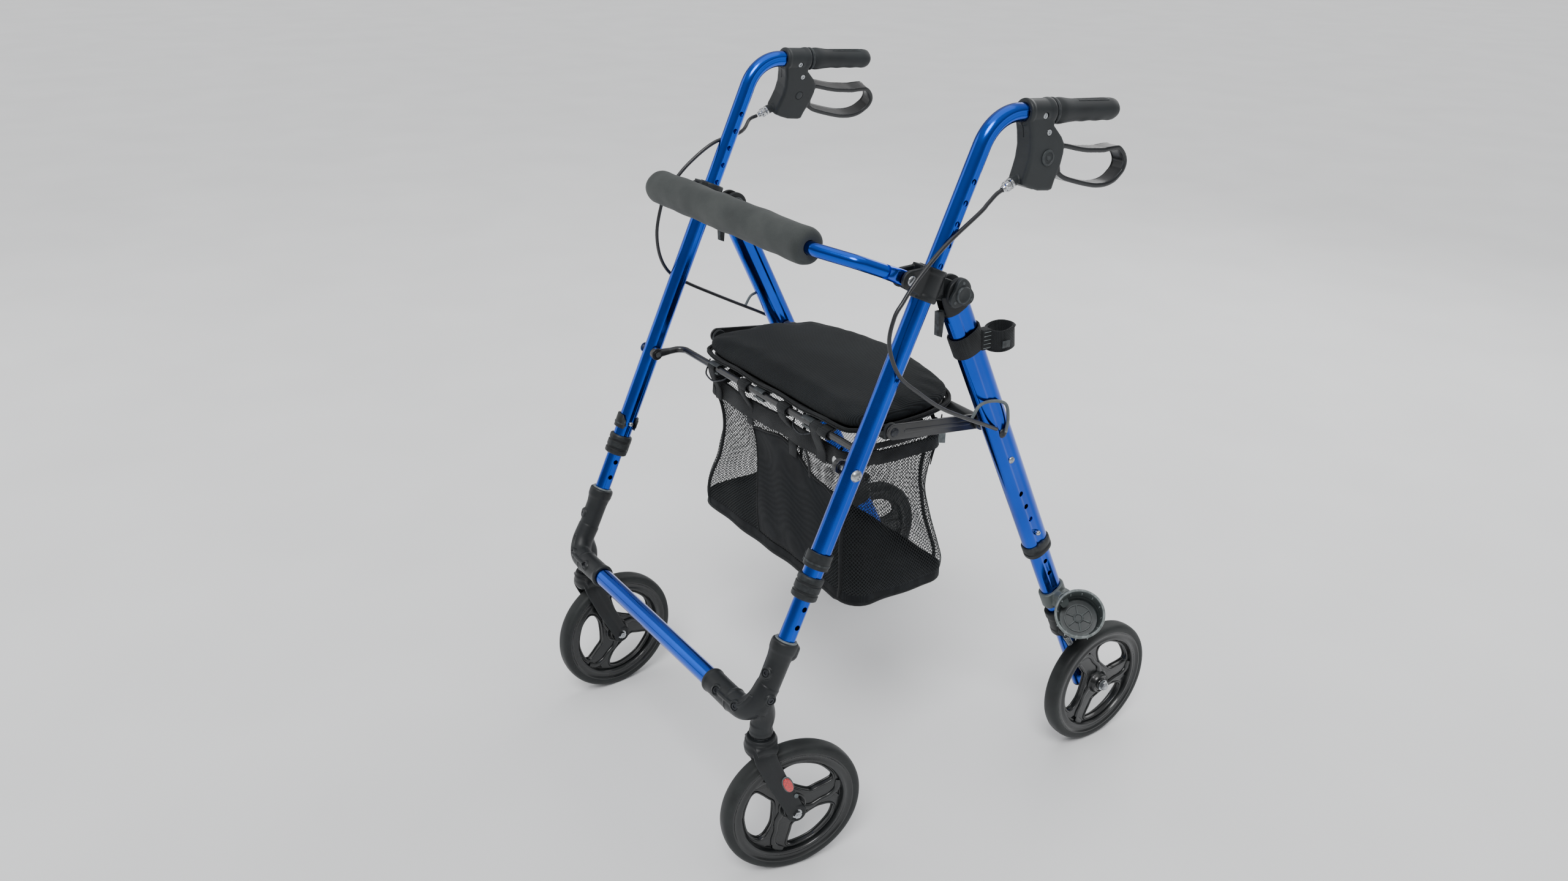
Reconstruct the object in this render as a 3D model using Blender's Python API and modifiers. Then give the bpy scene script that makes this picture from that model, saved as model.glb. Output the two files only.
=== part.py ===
"""Folding four-wheel rollator walker with seat, basket, backrest and hand brakes.

Metres, +Z up, floor at z = 0.  -Y is the direction of travel, +Y is where the
user stands, +X is the user's left.  The pieces are built about the plane
midway between the two leg planes; the last step moves the origin to the
middle of the walker's outer box.
"""
import math

import bmesh
import bpy
from mathutils import Matrix, Vector

SIDES = ((1, "left"), (-1, "right"))

# ---------------------------------------------------------------- leg lines
SLOPE_Z = 0.2           # height at which the leg lines are placed
FRONT_Y = -0.3300       # y of the front leg axes at SLOPE_Z
REAR_Y = FRONT_Y + 0.5541
LEG_X = 0.2417          # half distance between the left and right leg planes
FRONT_SLOPE = 0.4560    # y gained per metre of height
REAR_SLOPE = -0.4843

# ---------------------------------------------------------------- tubes
LEG_R, LEG_WALL = 0.0127, 0.0014                        # outer front tube
INNER_R, INNER_WALL = 0.0109, 0.0013                    # handle tube and lower front tube
REAR_A, REAR_B, REAR_WALL = 0.0125, 0.0190, 0.0016      # oval rear tube, half sizes
RIN_A, RIN_B, RIN_WALL = 0.0095, 0.0160, 0.0015         # oval lower rear tube
RIN_GAP = 0.0003                                        # play around the lower rear tube
BAR_Y, BAR_Z = FRONT_Y + 0.0160, 0.2535                 # front crossbar
BAR_R, BAR_WALL = 0.0125, 0.0015
BORE_GAP = 0.0004                                       # play in the other bores
BUTTON_Z, REAR_BUTTON_Z = 0.4425, 0.3765                # snap buttons
BUTTON_HOLE_R = 0.0040

# ---------------------------------------------------------------- wheels
WHEEL_R = 0.09525
TREAD_HALF = 0.0115
HUB_HALF = 0.0150
WEB_HALF = 0.0058
AXLE_Z = WHEEL_R
CASTER_X, CASTER_Y = 0.2380, FRONT_Y + 0.0330           # swivel axis
TRAIL = 0.0416
REST_SWIVEL = {1: 11.5, -1: -3.2}       # degrees, clockwise seen from above
REAR_WHEEL_X = 0.2725
REAR_AXLE_Y = REAR_Y + REAR_SLOPE * (AXLE_Z - SLOPE_Z)

# ---------------------------------------------------------------- handles and brakes
RING_Y, RING_Z = FRONT_Y + 0.4279, 0.9383               # reference point on the handle line
HANDLE_SLOPE = -0.0634                                  # z gained per metre of y
HANDLE_BOTTOM, HANDLE_END_Y = 0.700, FRONT_Y + 0.5280
GRIP_Y0, GRIP_Y1 = FRONT_Y + 0.4262, FRONT_Y + 0.5350
CLAMP_TURN = {1: 0.0, -1: 20.0}         # degrees each brake clamp is turned on its handle
LEVER_Y, LEVER_Z = FRONT_Y + 0.4158, 0.8880             # lever pivot
SHOE_Y, SHOE_Z = FRONT_Y + 0.5480, 0.2085               # brake shoe pivot
PAD_END_Y, PAD_END_Z = FRONT_Y + 0.5806, 0.1965         # far end of the shoe

# ---------------------------------------------------------------- folding joints, seat, back
FOLD_Y, FOLD_Z = FRONT_Y + 0.2958, 0.7435               # rear leg pivot
SEAT_Y, SEAT_Z = FRONT_Y + 0.1530, 0.5465               # seat pivot on the front legs
LINK_Y, LINK_Z = FRONT_Y + 0.3877, 0.5435               # cross tube between the rear legs
STUD_Y, STUD_Z = FRONT_Y + 0.2465, 0.5620               # link stud beside the seat
BACK_Y, BACK_Z = FRONT_Y + 0.2220, 0.7710               # backrest hinge
PAD_Y, PAD_Z, PAD_R, PAD_HALF = FRONT_Y + 0.1380, 0.8030, 0.0220, 0.1740
BACK_BAR_R = 0.0082
SEAT_HALF, SEAT_FRONT, SEAT_REAR = 0.184, FRONT_Y + 0.202, FRONT_Y + 0.412
SEAT_BOTTOM, SEAT_TOP = 0.5563, 0.5770
BASKET_HALF, BASKET_FRONT, BASKET_REAR = 0.185, FRONT_Y + 0.206, FRONT_Y + 0.368
BASKET_BOTTOM, BASKET_TOP = 0.310, 0.511

OUTER_BOX_X, OUTER_BOX_Y = 0.01578, 0.00963             # middle of the outer box

X = Vector((1, 0, 0))
Y = Vector((0, 1, 0))
FRONT_UP = Vector((0, FRONT_SLOPE, 1)).normalized()
REAR_UP = Vector((0, REAR_SLOPE, 1)).normalized()
HANDLE_DIR = Vector((0, 1, HANDLE_SLOPE)).normalized()

# height at which the front leg line meets the handle line
CORNER_Z = ((RING_Z + HANDLE_SLOPE * (FRONT_Y - FRONT_SLOPE * SLOPE_Z - RING_Y))
            / (1 - HANDLE_SLOPE * FRONT_SLOPE))

# ---------------------------------------------------------------- scene and materials
for old in list(bpy.data.objects):
    bpy.data.objects.remove(old, do_unlink=True)


def collection(name):
    made = bpy.data.collections.new(name)
    bpy.context.scene.collection.children.link(made)
    return made


PARTS = collection("rollator_walker")
CUTTERS = collection("cutters")


def material(name, color, roughness, metallic=0.0):
    made = bpy.data.materials.new(name)
    made.use_nodes = True
    inputs = made.node_tree.nodes["Principled BSDF"].inputs
    inputs["Base Color"].default_value = (*color, 1)
    inputs["Roughness"].default_value = roughness
    inputs["Metallic"].default_value = metallic
    return made


BLUE = material("blue_anodised", color=(0.0, 0.16, 0.72), roughness=0.28, metallic=0.9)
BLACK = material("black_plastic", color=(0.025, 0.03, 0.033), roughness=0.5)
GREY = material("grey_plastic", color=(0.10, 0.12, 0.12), roughness=0.55)
CAST = material("black_casting", color=(0.035, 0.045, 0.045), roughness=0.45, metallic=0.1)
STEEL = material("steel", color=(0.62, 0.62, 0.62), roughness=0.3, metallic=1.0)
ROD = material("black_steel", color=(0.02, 0.02, 0.022), roughness=0.4, metallic=0.5)
TYRE = material("wheel_rubber", color=(0.02, 0.024, 0.022), roughness=0.35)
FOAM = material("foam", color=(0.07, 0.085, 0.08), roughness=0.9)
FABRIC = material("seat_fabric", color=(0.045, 0.055, 0.055), roughness=0.9)
MESH = material("basket_mesh", color=(0.02, 0.025, 0.025), roughness=0.9)


# ---------------------------------------------------------------- points and outlines
def front_point(side, z):
    return Vector((side * LEG_X, FRONT_Y + FRONT_SLOPE * (z - SLOPE_Z), z))


def rear_point(side, z):
    return Vector((side * LEG_X, REAR_Y + REAR_SLOPE * (z - SLOPE_Z), z))


def front_span(side, z0, z1):
    """Both ends of a stretch of the front leg line."""
    return front_point(side, z0), front_point(side, z1)


def rear_span(side, z0, z1):
    return rear_point(side, z0), rear_point(side, z1)


def handle_point(side, y):
    return Vector((side * LEG_X, y, RING_Z + HANDLE_SLOPE * (y - RING_Y)))


def from_front(points):
    """(y, z) points whose y is measured from FRONT_Y."""
    return [(FRONT_Y + y, z) for y, z in points]


def arc(cy, cz, radius, start, end, steps):
    """Points on an arc, angles in degrees."""
    angles = [math.radians(start + (end - start) * i / steps) for i in range(steps + 1)]
    return [(cy + radius * math.cos(a), cz + radius * math.sin(a)) for a in angles]


def capsule(first, second, radius, steps):
    """Outline of a bar with round ends."""
    angle = math.degrees(math.atan2(second[1] - first[1], second[0] - first[0]))
    return (arc(*second, radius, angle - 90, angle + 90, steps)
            + arc(*first, radius, angle + 90, angle + 270, steps))


def oval_outline(half_x, half_y, count):
    turns = [2 * math.pi * i / count for i in range(count)]
    return [(half_x * math.cos(a), half_y * math.sin(a)) for a in turns]


def rounded_rect(half, y0, y1, radius, steps):
    """Rounded rectangle as (x, y) points, centred on x = 0."""
    corners = ((half - radius, y0 + radius, -90), (half - radius, y1 - radius, 0),
               (-half + radius, y1 - radius, 90), (-half + radius, y0 + radius, 180))
    points = []
    for cx, cy, start in corners:
        points += arc(cx, cy, radius, start, start + 90, steps)
    return points


def rounded(points, radius, steps):
    """Polyline with each inner corner replaced by an arc."""
    points = [Vector(p) for p in points]
    out = [points[0]]
    for before, corner, after in zip(points, points[1:], points[2:]):
        back, ahead = (before - corner).normalized(), (after - corner).normalized()
        half = back.angle(ahead) / 2
        setback = min(radius / math.tan(half),
                      0.48 * (before - corner).length,
                      0.48 * (after - corner).length)
        fitted = setback * math.tan(half)
        centre = corner + (back + ahead).normalized() * (fitted / math.sin(half))
        start = corner + back * setback - centre
        end = corner + ahead * setback - centre
        sweep = start.angle(end)
        for i in range(steps + 1):
            f = i / steps
            blend = start * math.sin((1 - f) * sweep) + end * math.sin(f * sweep)
            out.append(centre + blend / math.sin(sweep))
    out.append(points[-1])
    return out


# ---------------------------------------------------------------- solids
def basis(direction):
    """Rotation whose Z is the direction and whose X stays as near world X as it can."""
    along = Vector(direction).normalized()
    ref = X if abs(along.x) < 0.9 else Y
    across = (ref - along * ref.dot(along)).normalized()
    return Matrix((across, along.cross(across), along)).transposed().to_4x4()


def put(obj, target):
    for current in list(obj.users_collection):
        current.objects.unlink(obj)
    target.objects.link(obj)


def cylinder(name, radius, start, end, sides=16, caps=True, half_x=None):
    """Cylinder between two points; half_x makes it oval, radius being the other half size."""
    start, end = Vector(start), Vector(end)
    bpy.ops.mesh.primitive_cylinder_add(
        vertices=sides, radius=radius, depth=(end - start).length,
        end_fill_type='NGON' if caps else 'NOTHING')
    obj = bpy.context.object
    obj.name = name
    if half_x:
        obj.data.transform(Matrix.Diagonal((half_x / radius, 1, 1, 1)))
    obj.matrix_world = Matrix.Translation((start + end) / 2) @ basis(end - start)
    put(obj, PARTS)
    return obj


def x_cylinder(name, radius, y, z, x0, x1, sides=12):
    return cylinder(name, radius, (min(x0, x1), y, z), (max(x0, x1), y, z), sides)


def add_wall(obj, thickness, even=True):
    """Thicken an open surface inwards."""
    wall = obj.modifiers.new("wall", 'SOLIDIFY')
    wall.thickness = thickness
    wall.offset = -1
    wall.use_even_offset = even


def tube(name, radius, wall, start, end, half_x=None):
    obj = cylinder(name, radius, start, end, caps=False, half_x=half_x)
    add_wall(obj, wall)
    return obj


def box(name, corner, opposite):
    low = Vector([min(pair) for pair in zip(corner, opposite)])
    high = Vector([max(pair) for pair in zip(corner, opposite)])
    bpy.ops.mesh.primitive_cube_add(size=1)
    obj = bpy.context.object
    obj.name = name
    obj.data.transform(Matrix.Diagonal((*(high - low), 1)))
    obj.matrix_world = Matrix.Translation((low + high) / 2)
    put(obj, PARTS)
    return obj


def new_curve(name, dimensions):
    curve = bpy.data.curves.new(name, 'CURVE')
    curve.dimensions = dimensions
    return curve


def add_spline(curve, points, cyclic):
    spline = curve.splines.new('POLY')
    spline.points.add(len(points) - 1)
    for target, point in zip(spline.points, points):
        target.co = (*point, 1)
    spline.use_cyclic_u = cyclic


def curve_to_mesh(curve, name, place):
    """Welded mesh object made from a curve standing at place."""
    source = bpy.data.objects.new(name + "_curve", curve)
    source.matrix_world = place
    PARTS.objects.link(source)
    bpy.context.view_layer.update()
    depsgraph = bpy.context.evaluated_depsgraph_get()
    mesh = bpy.data.meshes.new_from_object(source.evaluated_get(depsgraph))
    bm = bmesh.new()
    bm.from_mesh(mesh)
    bmesh.ops.remove_doubles(bm, verts=bm.verts, dist=0.00001)
    bmesh.ops.recalc_face_normals(bm, faces=bm.faces)
    bm.to_mesh(mesh)
    bm.free()
    obj = bpy.data.objects.new(name, mesh)
    obj.matrix_world = source.matrix_world
    bpy.data.objects.remove(source, do_unlink=True)
    PARTS.objects.link(obj)
    return obj


def wire(name, points, radius, resolution=2, caps=True):
    """Round bar along a polyline."""
    curve = new_curve(name, '3D')
    curve.bevel_depth = radius
    curve.bevel_resolution = resolution
    curve.use_fill_caps = caps
    add_spline(curve, points, cyclic=False)
    return curve_to_mesh(curve, name, Matrix.Identity(4))


def prism(name, loops, thickness, place):
    """Flat (x, y) loops, thickened evenly about their plane, then placed."""
    curve = new_curve(name, '2D')
    curve.fill_mode = 'BOTH'
    curve.extrude = thickness / 2
    for loop in loops:
        add_spline(curve, [(*point, 0) for point in loop], cyclic=True)
    return curve_to_mesh(curve, name, place)


def plate(name, loops, x0, x1):
    """(y, z) loops, extruded between two x positions."""
    upright = Matrix(((0, 0, 1, 0), (1, 0, 0, 0), (0, 1, 0, 0), (0, 0, 0, 1)))
    return prism(name, loops, abs(x1 - x0), Matrix.Translation(((x0 + x1) / 2, 0, 0)) @ upright)


def slab(name, points, z0, z1):
    """An (x, y) outline, extruded between two heights."""
    return prism(name, [points], z1 - z0, Matrix.Translation((0, 0, (z0 + z1) / 2)))


def turned(name, profile, at, axis, steps=16, closed=False):
    """Turn a profile of (radius, height along the axis) points around an axis."""
    mesh = bpy.data.meshes.new(name)
    count = len(profile)
    edges = [(i, i + 1) for i in range(count - 1)]
    if closed:
        edges.append((count - 1, 0))
    mesh.from_pydata([(radius, 0, height) for radius, height in profile], edges, [])
    obj = bpy.data.objects.new(name, mesh)
    turn = obj.modifiers.new("turn", 'SCREW')
    turn.axis = 'Z'
    turn.steps = steps
    turn.render_steps = steps
    turn.use_merge_vertices = True
    turn.merge_threshold = 0.00001
    obj.matrix_world = Matrix.Translation(at) @ basis(axis)
    PARTS.objects.link(obj)
    return obj


# ---------------------------------------------------------------- combining and finishing
def add_booleans(obj, operation, tools):
    for tool in tools:
        boolean = obj.modifiers.new(operation.lower(), 'BOOLEAN')
        boolean.operation = operation
        boolean.solver = 'EXACT'
        boolean.object = tool
        put(tool, CUTTERS)
        tool.hide_render = True
        tool.display_type = 'WIRE'


def cut(obj, *tools):
    add_booleans(obj, 'DIFFERENCE', tools)


def join(obj, *tools):
    add_booleans(obj, 'UNION', tools)


def move(objects, matrix):
    for obj in objects:
        obj.matrix_world = matrix @ obj.matrix_world
    bpy.context.view_layer.update()


def paint(obj, mat):
    """Turned pieces need only this: their origin is already on their axis."""
    obj.data.materials.append(mat)


def finish(obj, mat, pivot, smooth=True):
    """Give the piece its material and put its origin on the pivot, unrotated."""
    target = Matrix.Translation(pivot)
    obj.data.transform(target.inverted() @ obj.matrix_world)
    obj.matrix_world = target
    paint(obj, mat)
    if smooth:
        obj.data.shade_smooth()
        obj.data.set_sharp_from_angle(angle=math.radians(35))


# ---------------------------------------------------------------- front legs
def front_leg(side, tag):
    """Outer tube with its seat pivot hole and snap button hole."""
    leg_x = side * LEG_X
    button = front_point(side, BUTTON_Z)
    leg = tube("front_leg_" + tag, LEG_R, LEG_WALL, *front_span(side, 0.402, 0.772))
    cut(leg,
        x_cylinder("leg_pivot_hole_" + tag, 0.0042, SEAT_Y, SEAT_Z, leg_x - 0.02, leg_x + 0.02),
        x_cylinder("leg_button_hole_" + tag, BUTTON_HOLE_R, button.y, button.z,
                   leg_x, leg_x - side * 0.02))
    finish(leg, BLUE, front_point(side, 0.587))


def leg_end_fittings(side, tag):
    """Collar and open snap clip around the lower end of the leg, with the snap button."""
    collar_profile = [(0.0148, 0.030), (0.0166, 0.0275), (0.0166, 0.003), (0.0148, 0.0),
                      (0.0130, 0.0), (0.0130, 0.030)]
    collar = turned("leg_end_collar_" + tag, collar_profile, front_point(side, 0.3965),
                    FRONT_UP, closed=True)
    paint(collar, BLACK)

    leg_x = side * LEG_X
    button = front_point(side, BUTTON_Z)
    gap_half = 0.0085
    clip_profile = [(0.0160, 0.0200), (0.0160, 0.0), (0.0130, 0.0), (0.0130, 0.0200)]
    clip = turned("snap_clip_" + tag, clip_profile, front_point(side, 0.4335), FRONT_UP,
                  closed=True)
    cut(clip, box("snap_clip_gap_" + tag, (leg_x, button.y - gap_half, 0.42),
                  (leg_x - side * 0.03, button.y + gap_half, 0.47)))
    paint(clip, BLACK)

    button_profile = [(0, 0.0034), (0.0020, 0.0030), (0.0032, 0.0018), (0.0036, 0.0),
                      (0.0036, -0.0008), (0, -0.0008)]
    snap = turned("front_snap_button_" + tag, button_profile,
                  (leg_x - side * (LEG_R + 0.0005), button.y, button.z), X * -side, 12)
    paint(snap, STEEL)


def pivot_bracket(side, tag):
    """Casting at the top of the leg: sleeve, backrest fork, rear arm and their pins."""
    leg_x = side * LEG_X
    sleeve_bottom, sleeve_top = front_span(side, 0.7420, 0.7770)
    fork_outline = (arc(BACK_Y, BACK_Z, 0.0115, 95, 265, 6)
                    + from_front([(0.2480, 0.7500), (0.2600, 0.7780)]))
    arm_outline = (from_front([(0.2560, 0.7700), (0.2480, 0.7470)])
                   + arc(FOLD_Y, FOLD_Z, 0.0120, -105, 75, 8))
    bracket = cylinder("pivot_bracket_" + tag, 0.0172, sleeve_bottom, sleeve_top)
    join(bracket,
         plate("fork_block_" + tag, [fork_outline], leg_x - 0.0105, leg_x + 0.0105),
         plate("arm_" + tag, [arm_outline], leg_x - 0.0050, leg_x + 0.0050))
    cut(bracket,
        box("fork_slot_" + tag, (leg_x - 0.0055, FRONT_Y + 0.200, 0.74),
            (leg_x + 0.0055, FRONT_Y + 0.2350, 0.80)),
        cylinder("leg_bore_" + tag, 0.0130, *front_span(side, 0.72, 0.80)))
    join(bracket,
         x_cylinder("back_pin_" + tag, 0.0036, BACK_Y, BACK_Z, leg_x - 0.0125, leg_x + 0.0125),
         x_cylinder("fold_pin_" + tag, 0.0040, FOLD_Y, FOLD_Z, leg_x - 0.0150, leg_x + 0.0150))
    finish(bracket, CAST, (sleeve_bottom + sleeve_top) / 2)


def seat_pivot_bolt(side, tag):
    """Bolt through the front leg, its head on the outer face."""
    profile = [(0, 0.0044), (0.0040, 0.0036), (0.0070, 0.0012), (0.0076, 0.0), (0.0038, 0.0),
               (0.0038, -0.0405), (0, -0.0405)]
    head_x = side * LEG_X + side * (LEG_R + 0.0004)
    paint(turned("seat_pivot_bolt_" + tag, profile, (head_x, SEAT_Y, SEAT_Z), X * side, 12),
          STEEL)


def front_inner_tube(side, tag):
    """Lower front tube sliding in the leg."""
    inner = tube("front_inner_tube_" + tag, INNER_R, INNER_WALL,
                 *front_span(side, 0.3200, 0.4700))
    finish(inner, BLUE, front_point(side, 0.395))


def caster_connector(side, tag):
    """Casting that joins the lower front tube, the crossbar and the caster."""
    leg_x, stem_x = side * LEG_X, side * CASTER_X
    web_outline = from_front([(0.0040, 0.2450), (0.0300, 0.2250), (0.0520, 0.3000),
                              (0.0420, 0.3300), (0.0300, 0.3100), (0.0080, 0.2700)])
    connector = cylinder("caster_connector_" + tag, 0.0152, *front_span(side, 0.2620, 0.3430))
    join(connector,
         cylinder("con_stem_" + tag, 0.0150, (stem_x, CASTER_Y, 0.2188),
                  (stem_x, CASTER_Y, 0.2800)),
         cylinder("con_lip_" + tag, 0.0172, *front_span(side, 0.3330, 0.3445)),
         plate("con_web_" + tag, [web_outline], leg_x - 0.0085, leg_x + 0.0085),
         cylinder("con_sleeve_" + tag, 0.0163, (side * 0.1500, BAR_Y, BAR_Z),
                  (side * (LEG_X + 0.004), BAR_Y, BAR_Z)))
    cut(connector,
        cylinder("con_bore_" + tag, INNER_R + BORE_GAP, *front_span(side, 0.3190, 0.3700)),
        cylinder("con_bar_bore_" + tag, BAR_R + BORE_GAP, (side * 0.1400, BAR_Y, BAR_Z),
                 (side * 0.2245, BAR_Y, BAR_Z)),
        cylinder("con_stem_bore_" + tag, 0.0062, (stem_x, CASTER_Y, 0.2100),
                 (stem_x, CASTER_Y, 0.2390)))
    finish(connector, CAST, front_point(side, 0.30))


# ---------------------------------------------------------------- wheels
def wheel(name, centre, axis):
    """Spoked wheel: a turned section with three openings cut through the web."""
    half = [(0.0165, HUB_HALF), (0.0180, WEB_HALF), (0.0680, WEB_HALF), (0.0700, TREAD_HALF),
            (0.0900, TREAD_HALF), (WHEEL_R, 0.0045)]
    bore = 0.0044
    profile = ([(bore, HUB_HALF)] + half + [(r, -h) for r, h in reversed(half)]
               + [(bore, -HUB_HALF)])
    body = turned(name, profile, centre, axis, 20, closed=True)
    place = Matrix.Translation(centre) @ basis(axis)
    for k in range(3):
        middle = 90 + 120 * k
        outer = arc(0, 0, 0.0640, middle - 40, middle + 36, 4)
        inner = arc(0, 0, 0.0270, middle + 10, middle - 46, 2)
        cut(body, prism("%s_opening_%d" % (name, k), [outer + inner], 0.04, place))
    paint(body, TYRE)


def caster(side, tag):
    """Fork, axle and wheel, built about the swivel axis and turned to the rest swivel."""
    turn = Matrix.Rotation(math.radians(-REST_SWIVEL[side]), 4, 'Z')
    place = Matrix.Translation((side * CASTER_X, CASTER_Y, 0)) @ turn
    inner_x, outer_x = 0.0165, 0.0215       # faces of the fork legs
    leg_outline = ([(-0.0150, 0.2040), (-0.0150, 0.1900), (TRAIL - 0.0125, 0.1020)]
                   + arc(TRAIL, AXLE_Z, 0.0125, 200, 340, 6)
                   + [(0.0430, 0.1500), (0.0170, 0.2040)])
    collar_top = 0.2175
    fork = cylinder("caster_fork_" + tag, 0.0150, (0, 0, 0.1990), (0, 0, collar_top))
    added = [cylinder("fork_stem_" + tag, 0.0056, (0, 0, 0.2100), (0, 0, 0.2370)),
             box("fork_crown_" + tag, (-outer_x, -0.0150, 0.1930), (outer_x, 0.0170, 0.2040)),
             plate("fork_leg_out_" + tag, [leg_outline], inner_x, outer_x),
             plate("fork_leg_in_" + tag, [leg_outline], -outer_x, -inner_x)]
    hole = x_cylinder("fork_axle_hole_" + tag, 0.0042, TRAIL, AXLE_Z, -0.03, 0.03)
    join(fork, *added)
    cut(fork, hole)
    move([fork, *added, hole], place)
    finish(fork, BLACK, (side * CASTER_X, CASTER_Y, collar_top))

    centre = place @ Vector((0, TRAIL, AXLE_Z))
    axis = (turn @ Vector((side, 0, 0))).normalized()
    axle_profile = [(0, 0.0275), (0.0050, 0.0265), (0.0065, 0.0240), (0.0065, 0.0218),
                    (0.0038, 0.0218), (0.0038, -0.0218), (0.0065, -0.0218), (0.0065, -0.0265),
                    (0, -0.0265)]
    paint(turned("caster_axle_" + tag, axle_profile, centre, axis, 12), STEEL)
    wheel("front_wheel_" + tag, centre, axis)


def rear_wheel_and_axle(side, tag):
    profile = [(0, 0.0560), (0.0060, 0.0550), (0.0080, 0.0525), (0.0080, 0.0475),
               (0.0041, 0.0475), (0.0041, -0.0098), (0.0075, -0.0098), (0.0075, -0.0150),
               (0, -0.0150)]
    axle = turned("rear_axle_" + tag, profile, (side * LEG_X, REAR_AXLE_Y, AXLE_Z), X * side, 12)
    paint(axle, STEEL)
    wheel("rear_wheel_" + tag, Vector((side * REAR_WHEEL_X, REAR_AXLE_Y, AXLE_Z)), X * side)


# ---------------------------------------------------------------- rear legs
def rear_leg(side, tag):
    """Oval tube with its snap button."""
    leg_x = side * LEG_X
    button = rear_point(side, REAR_BUTTON_Z)
    leg = tube("rear_leg_" + tag, REAR_B, REAR_WALL, *rear_span(side, 0.3500, 0.7220),
               half_x=REAR_A)
    cut(leg, x_cylinder("rear_button_hole_" + tag, BUTTON_HOLE_R, button.y, button.z,
                        leg_x, leg_x + side * 0.02))
    finish(leg, BLUE, (leg_x, FOLD_Y, FOLD_Z))

    profile = [(0, 0.0040), (0.0020, 0.0036), (0.0031, 0.0024), (0.0036, 0.0),
               (0.0036, -0.0008), (0, -0.0008)]
    snap = turned("rear_snap_button_" + tag, profile,
                  (leg_x + side * (REAR_A + 0.0004), button.y, button.z), X * side, 12)
    paint(snap, STEEL)


def rear_leg_head(side, tag):
    """Slotted hinge head that plugs into the top of the rear leg."""
    leg_x = side * LEG_X
    head = x_cylinder("rear_leg_head_" + tag, 0.0185, FOLD_Y, FOLD_Z,
                      leg_x - 0.0125, leg_x + 0.0125, 16)
    join(head,
         cylinder("head_skirt_" + tag, 0.0195, *rear_span(side, 0.7225, 0.7460), half_x=0.0130),
         cylinder("head_spigot_" + tag, 0.0169, *rear_span(side, 0.7040, 0.7300),
                  half_x=0.0104))
    cut(head,
        box("head_slot_" + tag, (leg_x - 0.0054, FOLD_Y - 0.040, FOLD_Z - 0.0160),
            (leg_x + 0.0054, FOLD_Y + 0.0128, FOLD_Z + 0.030)),
        x_cylinder("head_hole_" + tag, 0.0043, FOLD_Y, FOLD_Z, leg_x - 0.03, leg_x + 0.03))
    finish(head, BLACK, (leg_x, FOLD_Y, FOLD_Z))


def lower_rear_bore(name, side, z0, z1):
    """Cutter that clears the lower rear tube."""
    return cylinder(name, RIN_B + RIN_GAP, *rear_span(side, z0, z1), half_x=RIN_A + RIN_GAP)


def rear_inner_tube(side, tag):
    leg_x = side * LEG_X
    inner = tube("rear_inner_tube_" + tag, RIN_B, RIN_WALL, *rear_span(side, 0.0800, 0.4050),
                 half_x=RIN_A)
    cut(inner, x_cylinder("rear_axle_hole_" + tag, 0.0045, REAR_AXLE_Y, AXLE_Z,
                          leg_x - 0.02, leg_x + 0.02))
    finish(inner, BLUE, (leg_x, REAR_AXLE_Y, AXLE_Z))


def rear_brake(side, tag):
    """Bracket on the lower rear tube and the shoe on its outer pin."""
    leg_x = side * LEG_X
    bracket = cylinder("brake_bracket_" + tag, 0.0205, *rear_span(side, 0.1880, 0.2320),
                       half_x=0.0140)
    join(bracket,
         box("bracket_boss_" + tag, (leg_x + side * 0.0100, SHOE_Y - 0.0110, SHOE_Z - 0.0120),
             (leg_x + side * 0.0150, SHOE_Y + 0.0110, SHOE_Z + 0.0100)),
         x_cylinder("bracket_pin_" + tag, 0.0032, SHOE_Y, SHOE_Z,
                    leg_x + side * 0.0140, leg_x + side * 0.0240))
    cut(bracket, lower_rear_bore("bracket_bore_" + tag, side, 0.1600, 0.2600))
    finish(bracket, BLACK, (leg_x, SHOE_Y, SHOE_Z))

    shoe = plate("brake_shoe_" + tag,
                 [capsule((SHOE_Y, SHOE_Z), (PAD_END_Y, PAD_END_Z), 0.0058, 5),
                  arc(SHOE_Y, SHOE_Z, 0.0035, 0, 330, 11)],
                 leg_x + side * 0.0154, leg_x + side * 0.0214)
    join(shoe, x_cylinder("shoe_pad_" + tag, 0.0052, PAD_END_Y, PAD_END_Z,
                          leg_x + side * 0.0170, leg_x + side * 0.0415))
    finish(shoe, BLACK, (leg_x + side * 0.0185, SHOE_Y, SHOE_Z))


# ---------------------------------------------------------------- handles
# (y from FRONT_Y, z) outline of the brake housing
HOUSING_OUTLINE = [
    (0.3820, 0.9570), (0.3840, 0.9300), (0.3890, 0.9000), (0.3860, 0.8800), (0.3800, 0.8590),
    (0.3950, 0.8500), (0.4250, 0.8480), (0.4323, 0.8632), (0.4389, 0.8733), (0.4429, 0.8943),
    (0.4418, 0.9015), (0.4248, 0.9210), (0.4248, 0.9545)]
# (y from FRONT_Y, z) outer and inner edges of the brake lever loop
LEVER_OUTER = [
    (0.4050, 0.8800), (0.4050, 0.8960), (0.4120, 0.9005), (0.4360, 0.9008), (0.4700, 0.8955),
    (0.5144, 0.8885), (0.5350, 0.8880), (0.5480, 0.8800), (0.5530, 0.8655), (0.5470, 0.8510),
    (0.5320, 0.8435), (0.5132, 0.8418), (0.4700, 0.8515), (0.4354, 0.8600), (0.4200, 0.8680),
    (0.4080, 0.8730)]
LEVER_INNER = [
    (0.4380, 0.8955), (0.4700, 0.8907), (0.5150, 0.8838), (0.5330, 0.8833), (0.5440, 0.8765),
    (0.5484, 0.8655), (0.5430, 0.8545), (0.5310, 0.8482), (0.5140, 0.8466), (0.4700, 0.8563),
    (0.4420, 0.8640), (0.4360, 0.8720), (0.4350, 0.8860)]


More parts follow.
